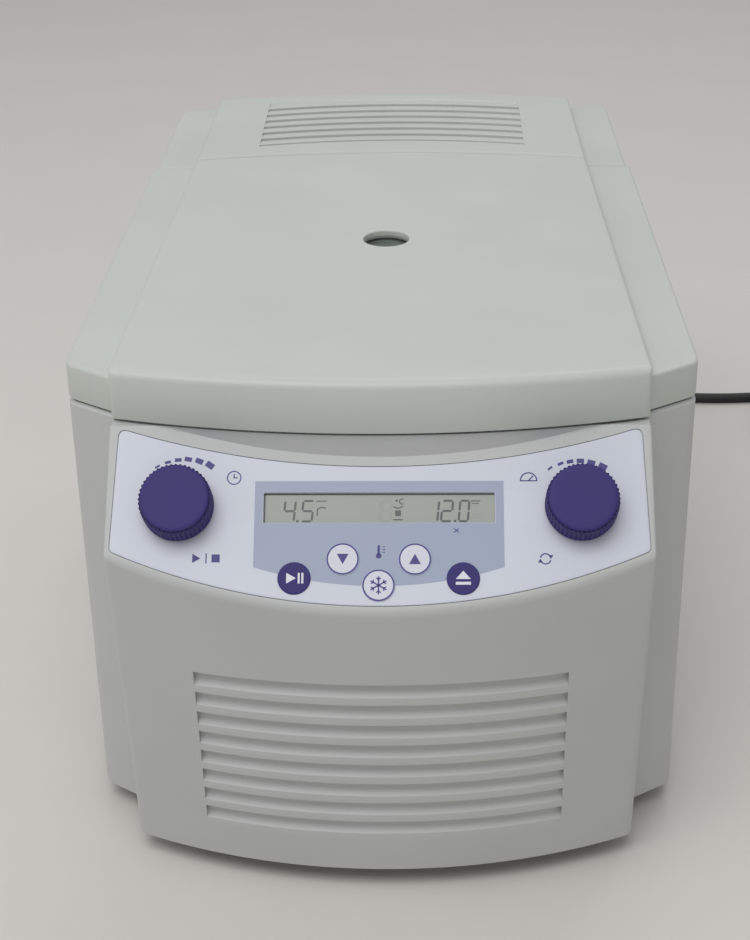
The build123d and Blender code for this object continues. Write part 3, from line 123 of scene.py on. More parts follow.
def add_mesh(name, points, faces, finish, body, stands_for=(), smooth=35, merge=True):
    """A piece from points in millimetres. Edges sharper than the smooth angle stay crisp."""
    mesh = bpy.data.meshes.new(name)
    mesh.from_pydata((np.asarray(points, float) / 1000).tolist(), [], faces)
    if merge:
        work = bmesh.new()
        work.from_mesh(mesh)
        bmesh.ops.remove_doubles(work, verts=work.verts, dist=2e-6)
        bmesh.ops.dissolve_degenerate(work, edges=work.edges, dist=1e-6)
        work.to_mesh(mesh)
        work.free()
    mesh.validate()
    mesh.polygons.foreach_set("use_smooth", np.ones(len(mesh.polygons), bool))
    mesh.set_sharp_from_angle(angle=radians(smooth))
    piece = placed(name, mesh)
    mesh.materials.append(finishes[finish])
    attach(piece, body)
    if stands_for:
        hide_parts(*stands_for)
    return piece


def ring_faces(count, around, first=0):
    """Quads between each ring of points and the next"""
    ring = np.arange(count - 1)[:, None] * around
    i = np.arange(around)[None, :]
    j = (i + 1) % around
    quads = np.stack([ring + i, ring + j, ring + around + j, ring + around + i], axis=-1)
    return (quads.reshape(-1, 4) + first).tolist()


def loop(first, count):
    """The numbers of a ring's points"""
    return list(range(first, first + count))


def capped_faces(count, around):
    """The quads of a stack of rings, closed by a face at its end and one at its start"""
    return ring_faces(count, around) + [loop((count - 1) * around, around), loop(0, around)[::-1]]


def grid_faces(rows, columns, first=0):
    """Quads of a sheet of points with this many rows and columns"""
    r = np.arange(rows - 1)[:, None]
    c = np.arange(columns - 1)[None, :]
    corner = r * columns + c
    quads = np.stack([corner, corner + 1, corner + columns + 1, corner + columns], axis=-1)
    return (quads.reshape(-1, 4) + first).tolist()


def bow_y(x, half, end_y, middle_y):
    """Y on the circle arc that runs from -half to half through its middle"""
    rise = middle_y - end_y
    radius = (half**2 + rise**2) / (2 * np.abs(rise) + 1e-9)
    return middle_y - np.sign(rise) * (radius - np.sqrt(np.maximum(radius**2 - x**2, 0)))


def along(points, cut_start, cut_end, count):
    """The middle part of a line of points, cut short at both ends and spaced evenly"""
    run = np.concatenate([[0], np.cumsum(np.linalg.norm(np.diff(points, axis=0), axis=1))])
    at = np.linspace(cut_start, run[-1] - cut_end, count)
    return np.stack([np.interp(at, run, points[:, 0]), np.interp(at, run, points[:, 1])], axis=1)


def shifted(side, inset):
    """A side moved to its left, which is the inside of a counter-clockwise outline"""
    run = np.gradient(side, axis=0)
    run /= np.linalg.norm(run, axis=1, keepdims=True)
    return side + inset * np.column_stack([-run[:, 1], run[:, 0]])


def meeting(one, other):
    """Where the last run of one side, made longer or shorter, meets the first run of the next"""
    p, u, q, v = one[-1], one[-1] - one[-2], other[0], other[1] - other[0]
    gap, span = q - p, u[0] * v[1] - u[1] * v[0]
    return p + u * (gap[0] * v[1] - gap[1] * v[0]) / span


def outline(sides, cuts, counts, turn=6, insets=None):
    """A closed outline from its sides, each moved in by its inset, with the corners rounded.
    A rounding leaves one side at its cut, heads for the corner and joins the next side:
    (1-t)^2 start + 2t(1-t) corner + t^2 end."""
    sides = [np.asarray(side, float) for side in sides]
    cuts = list(cuts)
    if insets is not None:
        moved = [shifted(side, inset) for side, inset in zip(sides, insets)]
        ends = [meeting(moved[k], moved[(k + 1) % len(moved)]) for k in range(len(moved))]
        trimmed = []
        for k, side in enumerate(moved):
            start, end = ends[k - 1], ends[k]
            chord = (end - start) / np.linalg.norm(end - start)
            place = (side - start) @ chord
            kept = side[(place > 0.2) & (place < (end - start) @ chord - 0.2)]
            trimmed.append(np.concatenate([[start], kept, [end]]))
            cuts[k] = max(cuts[k] - 0.7 * max(insets[k], insets[k - 1]), 0.15)
        sides = trimmed
    parts = []
    for k, side in enumerate(sides):
        cut = cuts[(k + 1) % len(sides)]
        middle = along(side, cuts[k], cut, counts[k])
        ahead = along(sides[(k + 1) % len(sides)], cut, 0, 2)[0]
        t = np.linspace(0, 1, turn + 2)[1:-1, None]
        parts += [middle, (1 - t) ** 2 * middle[-1] + 2 * t * (1 - t) * side[-1] + t**2 * ahead]
    return np.concatenate(parts)


def per_point(values, counts, turn=6):
    """One value per side spread over the outline's points, sliding evenly round each corner"""
    parts = []
    for k, value in enumerate(values):
        following = values[(k + 1) % len(values)]
        parts += [np.full(counts[k], float(value)), np.linspace(value, following, turn + 2)[1:-1]]
    return np.concatenate(parts)


def evened(values, reach=4):
    """Values round a closed outline, each averaged with its neighbours"""
    return np.mean([np.roll(values, s) for s in range(-reach, reach + 1)], axis=0)


def raised(points, z):
    """Flat points given a height, one for all or one each"""
    return np.column_stack([points, np.broadcast_to(z, len(points))])


def face_with_hole(outer, hole, pairs):
    """Two faces that fill the space between two loops of point numbers, cut along two bridges.
    Each pair is a place in the outer loop and the place in the hole that it is joined to."""
    (a, p), (b, q) = pairs

    def run(loop, start, end):
        return [loop[(start + s) % len(loop)] for s in range((end - start) % len(loop) + 1)]

    return [run(outer, a, b) + run(hole, p, q)[::-1], run(outer, b, a) + run(hole, q, p)[::-1]]


def circle(radius, centre, count, start=0.0):
    """Points round a circle, counter-clockwise"""
    a = start + np.linspace(0, 2 * pi, count, endpoint=False)
    return np.stack([centre[0] + radius * np.cos(a), centre[1] + radius * np.sin(a)], axis=1)


def nearest(points, target):
    """Index of the point closest to a place"""
    return int(np.argmin(np.linalg.norm(points - np.asarray(target, float), axis=1)))


def bridges(outer, hole, spots):
    """For each spot, which point of the outer loop and which point of the hole lie nearest to it"""
    return [(nearest(outer, spot), nearest(hole, spot)) for spot in spots]


square = [(0, 0), (9, 0), (9, 9), (0, 9), (0, 0)]
print("a rounded square has", len(outline(list(zip(square, square[1:])), [1] * 4, [4] * 4)), "points")

# %% [markdown]
# ## Finishes that several materials share
# Moulded plastic is never quite smooth: the mould is sparked to a fine grain, and years of
# hands leave faint, broad differences in tone. An image could show that, but a procedural
# noise stays sharp at any size. One node group holds it, and each material sets its own values.

# %% The moulded grain as a node group


def new_group(name, inputs, outputs):
    """An empty shader group with named float or colour inputs and outputs"""
    group = bpy.data.node_groups.new(name, "ShaderNodeTree")
    kinds = {"f": "NodeSocketFloat", "c": "NodeSocketColor", "v": "NodeSocketVector"}
    for label, kind, value in inputs:
        socket = group.interface.new_socket(label, in_out="INPUT", socket_type=kinds[kind])
        if value is not None:
            socket.default_value = value
    for label, kind in outputs:
        group.interface.new_socket(label, in_out="OUTPUT", socket_type=kinds[kind])
    start = group.nodes.new("NodeGroupInput")
    end = group.nodes.new("NodeGroupOutput")
    return group, start, end


def add_node(tree, kind, feeds=(), **settings):
    """A shader node with its settings, and for each input either a value or the output it takes"""
    node = tree.nodes.new("ShaderNode" + kind)
    for label, value in settings.items():
        setattr(node, label, value)
    for label, value in dict(feeds).items():
        if isinstance(value, bpy.types.NodeSocket):
            tree.links.new(value, node.inputs[label])
        else:
            node.inputs[label].default_value = value
    return node


moulded, given, result = new_group(
    "moulded_grain",
    [("Colour", "c", (0.5, 0.5, 0.5, 1)), ("Tone", "f", 0.04), ("Warmth", "f", 0.0),
     ("Roughness", "f", 0.45), ("Grain", "f", 0.02)],
    [("Colour", "c"), ("Roughness", "f"), ("Normal", "v")],
)
where = add_node(moulded, "TexCoord").outputs["Object"]
broad, fine, patches = [
    add_node(moulded, "TexNoise", {"Vector": where, "Scale": scale, "Detail": detail}).outputs["Fac"]
    for scale, detail in ((14, 3), (1500, 2), (5, 2))
]
print("noises: broad tone, fine grain and warm patches")

# %% [markdown]
# Inside the group the broad noise darkens the colour a little, the patches warm it where they
# are high, and the fine grain becomes a bump two tenths of a millimetre high.

# %% What the group does with the noises
less = add_node(moulded, "Math", {0: 1.0, 1: given.outputs["Tone"]}, operation="SUBTRACT")
tone = add_node(moulded, "MapRange", {"Value": broad, "From Min": 0.3, "From Max": 0.7,
                                      "To Min": less.outputs[0], "To Max": 1.0})
tinted = {"data_type": "RGBA", "blend_type": "MULTIPLY"}
shade = add_node(moulded, "Mix", {"Factor": 1.0, "A": given.outputs["Colour"],
                                  "B": tone.outputs["Result"]}, **tinted)
patch = add_node(moulded, "MapRange", {"Value": patches, "From Min": 0.48, "From Max": 0.68,
                                       "To Max": given.outputs["Warmth"]})
warm = add_node(moulded, "Mix", {"Factor": patch.outputs["Result"], "A": shade.outputs["Result"],
                                 "B": (1.0, 0.985, 0.93, 1)}, **tinted)
rough = add_node(moulded, "Math", {0: broad, 1: 0.1, 2: given.outputs["Roughness"]},
                 operation="MULTIPLY_ADD")
bump = add_node(moulded, "Bump", {"Distance": 0.0002, "Strength": given.outputs["Grain"],
                                  "Height": fine})
for label, output in (("Colour", warm.outputs["Result"]), ("Roughness", rough.outputs[0]),
                      ("Normal", bump.outputs["Normal"])):
    moulded.links.new(output, result.inputs[label])
print("groups:", [g.name for g in bpy.data.node_groups])

# %% [markdown]
# ## Materials
# A material is one Principled shader fed by the group. Plain numbers such as metallic are set
# on the shader itself. Colours are the object's own, chosen and corrected by comparing renders
# with the photograph, except for the lid's slight green tint, which is a painted reflection of a
# green wall. They are written as sRGB values from 0 to 255 and turned into the linear
# values that Blender wants.

# %% Material helpers


def linear(*rgb):
    """sRGB bytes as a linear colour"""
    c = np.array(rgb) / 255
    c = np.where(c <= 0.04045, c / 12.92, ((c + 0.055) / 1.055) ** 2.4)
    return (*c.tolist(), 1.0)


def new_material(name, rgb, roughness, grain, tone_change, warmth=0.0, metallic=0.0, **shader):
    """Moulded or painted finish: the shared grain under one Principled shader"""
    material = bpy.data.materials.new(name)
    material.use_nodes = True
    tree = material.node_tree
    principled = tree.nodes["Principled BSDF"]
    values = {"Colour": linear(*rgb), "Tone": tone_change, "Warmth": warmth,
              "Roughness": roughness - 0.05, "Grain": grain}
    group = add_node(tree, "Group", values, node_tree=moulded)
    for label, target in (("Colour", "Base Color"), ("Roughness", "Roughness"), ("Normal", "Normal")):
        tree.links.new(group.outputs[label], principled.inputs[target])
    principled.inputs["Metallic"].default_value = metallic
    for label, value in shader.items():
        principled.inputs[label.replace("_", " ")].default_value = value
    return material


print("a mid grey of 128 is", round(linear(128)[0], 3), "in linear light")

# %% [markdown]
# The machine has two pale plastics, a violet one for the knobs, a printed film, and inside it
# metals, rubber and foam. The lid's pale grey carries a slight green tint, a painted reflection of
# a green wall. They differ only in the numbers that the shared grain is given. The
# sight glass is clear, with a roughness that wavers as on glass that has been wiped.

# %% All finishes
finishes = {
    # lid: pale grey plastic whose slight green tint is a painted reflection of a green wall
    "lid": new_material("pale_lid_plastic_with_painted_green_reflection", (199, 204, 197), 0.4, 0.25, 0.05, 0.5),
    "shell": new_material("grey_shell_plastic", (195, 196, 195), 0.5, 0.3, 0.05, 0.35),
    "overlay": new_material("overlay_film", (209, 213, 224), 0.4, 0.1, 0.02),
    "lens": new_material("display_lens", (154, 160, 152), 0.35, 0.0, 0.02),
    "knob": new_material("violet_knob_plastic", (58, 53, 116), 0.55, 0.6, 0.08, Specular_IOR_Level=0.25),
    "white_key": new_material("white_key_film", (212, 215, 226), 0.38, 0.1, 0.02),
    "black_plastic": new_material("black_plastic", (28, 28, 29), 0.4, 0.3, 0.1),
    "board": new_material("circuit_board", (24, 84, 46), 0.35, 0.1, 0.2),
    "steel": new_material("plated_steel", (190, 190, 188), 0.32, 0.1, 0.08, metallic=1.0),
    "painted": new_material("coated_sheet", (176, 177, 172), 0.5, 0.5, 0.05),
    "black_painted": new_material("black_enamel", (22, 22, 24), 0.25, 0.1, 0.1),
    "aluminium": new_material("bare_aluminium", (205, 206, 208), 0.35, 0.15, 0.06, metallic=1.0),
    "rotor": new_material("dark_anodised", (88, 90, 94), 0.38, 0.2, 0.06, metallic=0.9),
    "rubber": new_material("black_rubber", (34, 34, 34), 0.75, 0.5, 0.15),
    "foam": new_material("foam", (52, 52, 50), 0.9, 0.8, 0.2),
    "cable": new_material("cable_sheath", (24, 24, 25), 0.5, 0.2, 0.1),
}
glass = bpy.data.materials.new("clear_glass")
glass.use_nodes = True
tree = glass.node_tree
shader = tree.nodes["Principled BSDF"]
shader.inputs["Base Color"].default_value = linear(225, 236, 232)
shader.inputs["Transmission Weight"].default_value = 1.0
shader.inputs["IOR"].default_value = 1.45
where = add_node(tree, "TexCoord").outputs["Object"]
wiped = add_node(tree, "TexNoise", {"Vector": where, "Scale": 60.0})
spread = add_node(tree, "MapRange", {"Value": wiped.outputs["Fac"], "To Min": 0.02, "To Max": 0.06})
tree.links.new(spread.outputs["Result"], shader.inputs["Roughness"])
finishes["glass"] = glass
for part in frame["record"]["subparts"]:
    target = nodes[part["node"]].data.materials
    target.clear()
    target.append(finishes[part["material_slot"]])
print("materials:", len(finishes))

# %% [markdown]
# ## The mains lead
# The lead leaves the back, sinks to the table and comes into view at the right. The rest of its
# 1.8 metres is wound up just outside the picture, as a lead is put away. A smooth NURBS line
# through a few listed points bends like rubber; the coil adds its turns to the same line.

# %% Lead


def coil_points():
    """Turns as half circles about two centres, so the line spirals in below and out above.
    Each half circle is 8 control points, a little outside it: radius / cos(pi / 16)."""
    found, here, side = [], np.array([309.0, back(474.0)]), 1
    low_z, high_z = 3.5, 11.5
    radii = [49.25 - 4.3 * k for k in range(7)]
    plan = [(r, low_z, low_z) for r in radii[:6]] + [(radii[6], low_z, high_z)]
    plan += [(r, high_z, high_z) for r in radii[5::-1]]
    for number, (radius, low, high) in enumerate(plan):
        share = 0.5 if number == len(plan) - 1 else 1.0
        centre = here - (0, radius * side)
        steps = (np.arange(8 * share) + 0.5) / 8
        angle = side * pi / 2 - steps * pi
        reach = radius / cos(pi / 16)
        x, y = centre[0] + reach * np.cos(angle), centre[1] + reach * np.sin(angle)
        found.append(np.column_stack([x, y, low + (high - low) * steps]))
        here = here - (0, 2 * radius * side)
        side = -side
    return np.concatenate(found)


lead_points = np.array([
    (0, 449.8, 45), (0, 474, 45), (13, 500, 34), (45, 515, 15), (90, 513, 3.5), (138, 497, 3.5),
    (184, 476, 3.5), (232, 470.5, 3.5), (272, 474, 3.5), (302.2, 474, 3.5),
], float)
lead_points[:, 1] = back(lead_points[:, 1])
turns = coil_points()
tail = np.array([(358.25, turns[-1][1] - 14, 11.5), (358.25, 251.05, 11.5)])
line = np.concatenate([lead_points, turns, tail]) / 1000
curve = bpy.data.curves.new("mains_lead", "CURVE")
curve.dimensions = "3D"
spline = curve.splines.new("NURBS")
spline.points.add(len(line) - 1)
spline.points.foreach_set("co", np.column_stack([line, np.ones(len(line))]).ravel())
spline.order_u = 3
spline.use_endpoint_u = True
spline.resolution_u = 6
curve.bevel_depth = 0.0034
curve.bevel_resolution = 5
curve.use_fill_caps = True
lead = placed("mains_lead", curve)
curve.materials.append(finishes["cable"])
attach(lead, "cabinet")
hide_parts("cord", "cord_coil")
print("lead points:", len(line))

# %% [markdown]
# ## The lid
# The lid is one big moulding: a raised strip that bulges over the front, between two lower
# shoulders. A hollow cover like this is one stack of rings, from its ceiling down the inside,
# round the rim, up the outside and over a rounded edge. The front leans back a little, so each
# ring slides between a low and a high outline. The edge is rounder at the front than along the
# sides, which is what catches the light in the photograph.

# %% Outline of the strip and a hollow cover
STRIP_FRONT, STRIP_SEAM, STRIP_REAR = 121.5, 113.5, 111.3
SKIRT_END, SKIRT_MIDDLE, SEAM_END, SEAM_MIDDLE = 22.3, 38.9, 274.5, 286.5


def strip_half(distance):
    """Half width of the raised strip, which narrows evenly from the skirt to the seam"""
    return STRIP_FRONT - (STRIP_FRONT - STRIP_SEAM) * (distance + SKIRT_END) / (SEAM_END + SKIRT_END)


def bowed_sides(front, rear):
    """Four sides with a bowed front and rear, each given as half width, distance at ends, at middle"""
    found = []
    for (half, ends, middle), way in ((front, 1), (rear, -1)):
        x = np.linspace(-half, half, 121) * way
        found.append(np.column_stack([x, bow_y(x, half, back(ends), back(middle))]))
    front_side, rear_side = found
    return [front_side, np.array([front_side[-1], rear_side[0]]), rear_side,
            np.array([rear_side[-1], front_side[0]])]


def cover_rings(sides_at, cuts, counts, z_high, rim_at, radii, wall=WALL, tip=0.6, turn=6):
    """Rings of a hollow cover, from its ceiling down the inside, round the rim and up the outside.
    sides_at(z) gives the sides at a height, and the top edge is a quarter circle whose radius
    is each side's own: inset r(1 - cos a), height top - r(1 - sin a)."""
    radii = np.array(radii, float)

    def ring(insets, heights):
        insets, heights = insets * np.ones(len(radii)), heights * np.ones(len(radii))
        sides = [sides_at(z)[k] for k, z in enumerate(heights)]
        flat = outline(sides, cuts, counts, turn, insets)
        return raised(flat, per_point(heights, counts, turn))

    def rim_ring(inset, lift):
        found = ring(inset, sides_low)
        found[:, 2] = rim_at(found[:, :2]) + lift
        return found

    sides_low = 0.0 * radii + rim_at(np.zeros((1, 2)))[0]
    rings = [ring(radii + wall + 2, z_high - wall), ring(wall + radii, z_high - wall),
             ring(wall, z_high - wall - radii), rim_ring(wall, 0), rim_ring(tip, 0),
             rim_ring(tip * 0.3, tip * 0.3), rim_ring(0, tip)]
    for angle in np.linspace(0, pi / 2, 7):
        rings.append(ring(radii * (1 - cos(angle)), z_high - radii * (1 - sin(angle))))
    rings.append(ring(radii + 1.5, z_high))
    return rings


def strip_sides(z):
    """The strip's sides at a height: the front leans back as it rises, and so does the rear"""
    s = (z - PARTING) / (STRIP_TOP - PARTING)
    lag = 12 * (1 - s)
    return bowed_sides((STRIP_FRONT, -SKIRT_END + 1.8 * s, -SKIRT_MIDDLE + 4.9 * s),
                       (strip_half(SEAM_END - lag), SEAM_END - lag, SEAM_MIDDLE - lag))


print("strip is", 2 * STRIP_FRONT, "mm wide in front and", 2 * STRIP_SEAM, "at the seam")

# %% [markdown]
# The sight hole in the middle lets a user watch the rotor with a strobe. It is a second stack of
# rings that runs down from the top, and the flat top is cut into two faces that meet at the
# hole, because a face can't have a hole in it.

# %% Raised strip of the lid
SIGHT_RADIUS = 11.8


def hole_rings(radius, centre, z_high, z_low, round_off, count=64):
    """Rings down the wall of a round hole whose upper edge is a quarter circle"""
    rings = [raised(circle(radius + round_off + 0.6, centre, count, pi), z_high)]
    for angle in np.linspace(pi / 2, 0, 5):
        grown = radius + round_off * (1 - cos(angle))
        rings.append(raised(circle(grown, centre, count, pi), z_high - round_off * (1 - sin(angle))))
    rings.append(raised(circle(radius, centre, count, pi), z_low))
    return rings


def holed_cover(rings, holes):
    """Points and faces of a cover with one hole through its top; both flats are two faces each"""
    around, hole_around = len(rings[0]), len(holes[0])
    first_hole = len(rings) * around
    last_hole = first_hole + (len(holes) - 1) * hole_around
    faces = ring_faces(len(rings), around) + ring_faces(len(holes), hole_around, first_hole)
    for ring, hole, start, hole_start, flip in (
        (rings[-1], holes[0], (len(rings) - 1) * around, first_hole, False),
        (rings[0], holes[-1], 0, last_hole, True),
    ):
        half, centre_y = np.abs(ring[:, 0]).max(), hole[:, 1].mean()
        left, right = [nearest(ring[:, :2], (x, centre_y)) for x in (-half, half)]
        two = face_with_hole(loop(start, around), loop(hole_start, hole_around),
                             ((left, 0), (right, hole_around // 2)))
        faces += [f[::-1] for f in two] if flip else two
    return np.concatenate(rings + holes), faces


def strip_rim(flat):
    """The strip's walls reach the parting line in front and behind, but not over the shoulders"""
    shown = (flat[:, 1] < back(-11)) | (flat[:, 1] > back(245)) | (np.abs(flat[:, 0]) < 90)
    return np.where(shown, PARTING, LINER_TOP)


rings = cover_rings(strip_sides, (2.5, 2.5, 2, 2), (72, 48, 72, 48), STRIP_TOP, strip_rim,
                    (4.0, 1.5, 2.0, 1.5))
sight_hole = hole_rings(SIGHT_RADIUS, (0, CHAMBER_Y), STRIP_TOP, STRIP_TOP - WALL, 1.0)
points, faces = holed_cover(rings, sight_hole)
add_mesh("lid_strip", points, faces, "lid", "lid", ["lid_cover"], smooth=46)
print("lid strip:", len(points), "points")

# %% [markdown]
# Each shoulder is the same kind of cover with a plainer outline: the front corner is slanted
# like the wings below it. The left one is the right one with x turned to its negative and every
# face run backwards, so that its faces still point out.

# %% Shoulders of the lid
SHOULDER_SEAM = 277.0


def shoulder_sides(front, rear, outer_inset, slanted):
    """Right-hand shoulder: front, straight outer side, rear, and the side under the strip"""
    inner_x = [strip_half(min(d, SEAM_END)) - 1.5 for d in (front, rear)]
    outer_front = (side_x(front) - outer_inset, back(front))
    slant = WING_REACH / (HALF_FRONT - WING_INNER) if slanted else 0
    inner_front = (inner_x[0], back(front) - slant * (outer_front[0] - inner_x[0]))
    outer_rear, inner_rear = (side_x(rear) - outer_inset, back(rear)), (inner_x[1], back(rear))
    corners = np.array([inner_front, outer_front, outer_rear, inner_rear])
    return [np.linspace(corners[k], corners[(k + 1) % 4], 9) for k in range(4)]


def add_shoulders(name, sides, cuts, z_high, rim_at, body):
    """The right-hand cover and its mirror image"""
    rings = cover_rings(lambda z: sides, cuts, (20, 60, 16, 30), z_high, rim_at, (1.5, 1.5, 1.5, 0.8))
    around = len(rings[0])
    points = np.concatenate(rings)
    faces = capped_faces(len(rings), around)
    add_mesh(name + "_right", points, faces, "lid", body)
    add_mesh(name + "_left", points * (-1, 1, 1), [face[::-1] for face in faces], "lid", body)
    print(name, "has", len(points), "points a side")


def shoulder_rim(flat):
    """The side under the strip stops above the liner plate"""
    under = np.abs(flat[:, 0]) < strip_half(flat[:, 1] - FRONT_Y) + 2.2
    return np.where(under & (flat[:, 1] > back(-8)), LINER_TOP, PARTING)


add_shoulders("lid_shoulder", shoulder_sides(0, SHOULDER_SEAM, 0, True), (0.4, 5.0, 1.2, 0.4),
              SHOULDER_TOP, shoulder_rim, "lid")

# %% [markdown]
# ## The rear cover
# Behind the lid a fixed cover goes on with the same strip and shoulders, and vents the warm air
# upwards. Between its slots stand bars, highest in front. They are one sheet: a sawtooth
# profile carried across on the same bow as the seam.

# %% Hump with louvres
VENT_FIRST, VENT_PITCH, VENT_COUNT, VENT_HALF, VENT_BOW = 299.0, 12.2, 7, 79.0, 9.0


def louvre_sheet(columns=60):
    """Height and place over (across, along): one profile carried across, each row on the same bow.
    A bar's front stands 1.2 mm up from a narrow slot, and its top falls back to the next slot."""
    step = np.array([0.0, 1.7, 1.75, 3.1, 3.15, 3.25, 3.5, 3.9])
    drop = np.array([0.0, 1.2, 3.0, 3.0, 1.2, 0.25, 0.05, 0.0])
    ends = np.array([VENT_PITCH * VENT_COUNT + 1.4, VENT_PITCH * VENT_COUNT + 2.2])
    more = [step[1:] + VENT_PITCH * k for k in range(1, VENT_COUNT)]
    along_y = np.concatenate([step] + more + [ends])
    height = STRIP_TOP - np.concatenate([drop] + [drop[1:]] * (VENT_COUNT - 1) + [[1.2, 0.0]])
    x = np.linspace(-VENT_HALF, VENT_HALF, columns)
    x = np.concatenate([x[:1], x, x[-1:]])
    bowed = bow_y(x, VENT_HALF, 0.0, VENT_BOW)
    X, Y = np.broadcast_arrays(x[None, :], back(VENT_FIRST) + along_y[:, None] + bowed[None, :])
    Z = np.broadcast_to(height[:, None], X.shape).copy()
    Z[:, 0] = Z[:, -1] = STRIP_TOP
    return np.stack([X, Y, Z], axis=-1)


def hump_rim(flat):
    """The front wall is notched where the hinge arms come through"""
    near_arm = (np.abs(np.abs(flat[:, 0]) - 85) < 5.6) & (flat[:, 1] < back(300))
    return np.where(near_arm, 249.0, HOUSING_TOP)


hump = bowed_sides((STRIP_SEAM, SEAM_END + 1.2, SEAM_MIDDLE + 1.2), (STRIP_REAR, 397.0, 407.4))
rings = cover_rings(lambda z: hump, (1.5, 1.5, 5.0, 5.0), (160, 48, 72, 48), STRIP_TOP, hump_rim,
                    (1.6, 1.5, 2.2, 1.5))
around = len(rings[0])
sheet = louvre_sheet()
rows, columns = sheet.shape[:2]
border = np.concatenate([sheet[0, :-1], sheet[:-1, -1], sheet[-1, :0:-1], sheet[:0:-1, 0]])
first_border = len(rings) * around
top = rings[-1][:, :2]
cuts = bridges(top, border[:, :2], [(-112, back(340)), (112, back(340))])
faces = ring_faces(len(rings), around) + [loop(0, around)[::-1]]
faces += face_with_hole(loop(first_border - around, around), loop(first_border, len(border)), cuts)
faces += grid_faces(rows, columns, first_border + len(border))
points = np.concatenate(rings + [border, sheet.reshape(-1, 3)])
add_mesh("rear_hump", points, faces, "lid", "cabinet", ["rear_cover"], smooth=30)
print("louvre sheet:", rows, "by", columns)

# %% Shoulders of the rear cover
add_shoulders("rear_shoulder", shoulder_sides(278.2, 394, 2.0, False), (0.4, 0.8, 7.0, 0.4),
              SHOULDER_TOP, lambda flat: np.full(len(flat), HOUSING_TOP), "cabinet")

# %% [markdown]
# ## The console
# The front is one moulding: a bulging wall with louvres, a sloped panel and a low neck under
# the lid. It is too complicated for one stack of flat rings, so the wall is worked out column
# by column: each point of the foot is joined to a point of the panel's edge, and the louvres
# push the wall inwards by an amount that depends on the height alone.

# %% Console wall and louvres
CONSOLE_HALF, NOSE_Z, PANEL_Y = 121.5, 185.4, back(-70.0)
LOUVRE_HALF, LOUVRE_PITCH, LOUVRE_COUNT, LOUVRE_TOP = 85.0, 12.0, 8, 119.2
FOLD_Y = PANEL_Y + (HOUSING_TOP - NOSE_Z) / tan(SLOPE)
DECK_EDGE = back(-15.5)
SLOT_HALF, SLOT_DEPTH = 3.6, 13.6


def console_ring(ends, middle, inset_front=0.0, inset_side=0.0, corner=5.5):
    """Outline of the console: a bowed front whose columns keep their x, rounded corners,
    straight sides and a straight rear with a notch for the striker. ends and middle are the Y
    of the front there."""
    half = CONSOLE_HALF - inset_side
    corner = max(corner - 0.7 * max(inset_side, inset_front), 0.3)
    edge = LOUVRE_HALF + 0.04
    outer = edge + (half - corner - edge) * np.linspace(0, 1, 15)
    inner = np.linspace(0, edge - 0.08, 45)
    x = np.concatenate([inner, outer])
    x = np.concatenate([-x[:0:-1], x])
    bowed = bow_y(x, CONSOLE_HALF, ends, middle) + inset_front
    front_side = np.column_stack([x, bowed])
    tip = np.array([half, bow_y(half, CONSOLE_HALF, ends, middle) + inset_front])
    t = np.linspace(0, 1, 8)[1:-1, None]
    turn = (1 - t) ** 2 * front_side[-1] + 2 * t * (1 - t) * tip + t**2 * (tip + (0, corner))
    side_y = np.linspace(tip[1] + corner, FOLD_Y, 12)
    side_y = np.concatenate([side_y, np.linspace(FOLD_Y, DECK_EDGE, 5)[1:]])
    side = np.column_stack([np.full(len(side_y), half), side_y])
    right = np.concatenate([turn, side])
    rear = np.column_stack([np.linspace(half, 48, 4)[1:], np.full(3, DECK_EDGE)])
    rear = np.concatenate([rear, [(SLOT_HALF, DECK_EDGE), (SLOT_HALF, DECK_EDGE - SLOT_DEPTH)]])
    rear = np.concatenate([rear, rear[::-1] * (-1, 1)])
    return np.concatenate([front_side, right, rear, right[::-1] * (-1, 1)])


def louvre_depth(z):
    """How far the wall is pushed in at a height: none on a slat's face, a slope of 45 degrees
    from its lip, a steep wall behind, and a sharp return under the slat above"""
    rise = np.array([-0.5, 0.0, 0.25, 2.6, 2.9, 6.9, 7.0, 7.45, 7.5, 7.7])
    depth = np.array([0.0, 0.12, 0.45, 2.8, 2.95, 3.15, 7.0, 7.0, 0.25, 0.0])
    lips = LOUVRE_TOP - LOUVRE_PITCH * np.arange(LOUVRE_COUNT)[::-1]
    heights = (lips[:, None] + rise[None, :]).ravel()
    return heights, np.interp(z, heights, np.tile(depth, LOUVRE_COUNT))


foot = console_ring(back(-42.5), back(-70.1), corner=4.0)
nose = console_ring(back(-70.0), back(-90.1), corner=1.5)
lean = (nose[:, 1] - foot[:, 1]) / (NOSE_Z - FOOT)
edge_z = (NOSE_Z - PANEL_Y + foot[:, 1] - lean * FOOT) / (1 - lean)
edge_z = np.minimum(edge_z, HOUSING_TOP)
on_front = np.abs(nose[:, 0]) < CONSOLE_HALF - 6
middle_y = (foot[:, 1] + lean * (edge_z - FOOT))[nearest(nose, (0, back(-90)))]
edge_flat = console_ring(back(-70.0), middle_y, corner=1.5)
edge_z = np.minimum(NOSE_Z + edge_flat[:, 1] - PANEL_Y, HOUSING_TOP)
edge_ring = raised(edge_flat, edge_z)
foot_ring = raised(foot, FOOT)
print("panel's lower edge falls to", round(float(edge_z.min()), 1), "mm in the middle")

# %% [markdown]
# The panel is flat, so it is one face with a hole for the keypad film. Between wall and panel
# runs a rounding that is small along the nose and wide along the sides. A quadratic curve from
# the wall to the panel, drawn towards the sharp edge, gives both with one formula.

# %% Points on the panel
NECK_ENDS, NECK_MIDDLE = back(-20.7), back(-37.3)


def panel_point(x, u, h=0.0):
    """Place of a point on the panel: x across, u up the slope and h out of it"""
    x, u, h = np.broadcast_arrays(np.asarray(x, float), u, h)
    slope = sqrt(0.5)
    return np.stack([x, PANEL_Y + slope * (u - h), NOSE_Z + slope * (u + h)], axis=-1)


print("middle of the panel:", panel_point(0, 24).round(1))

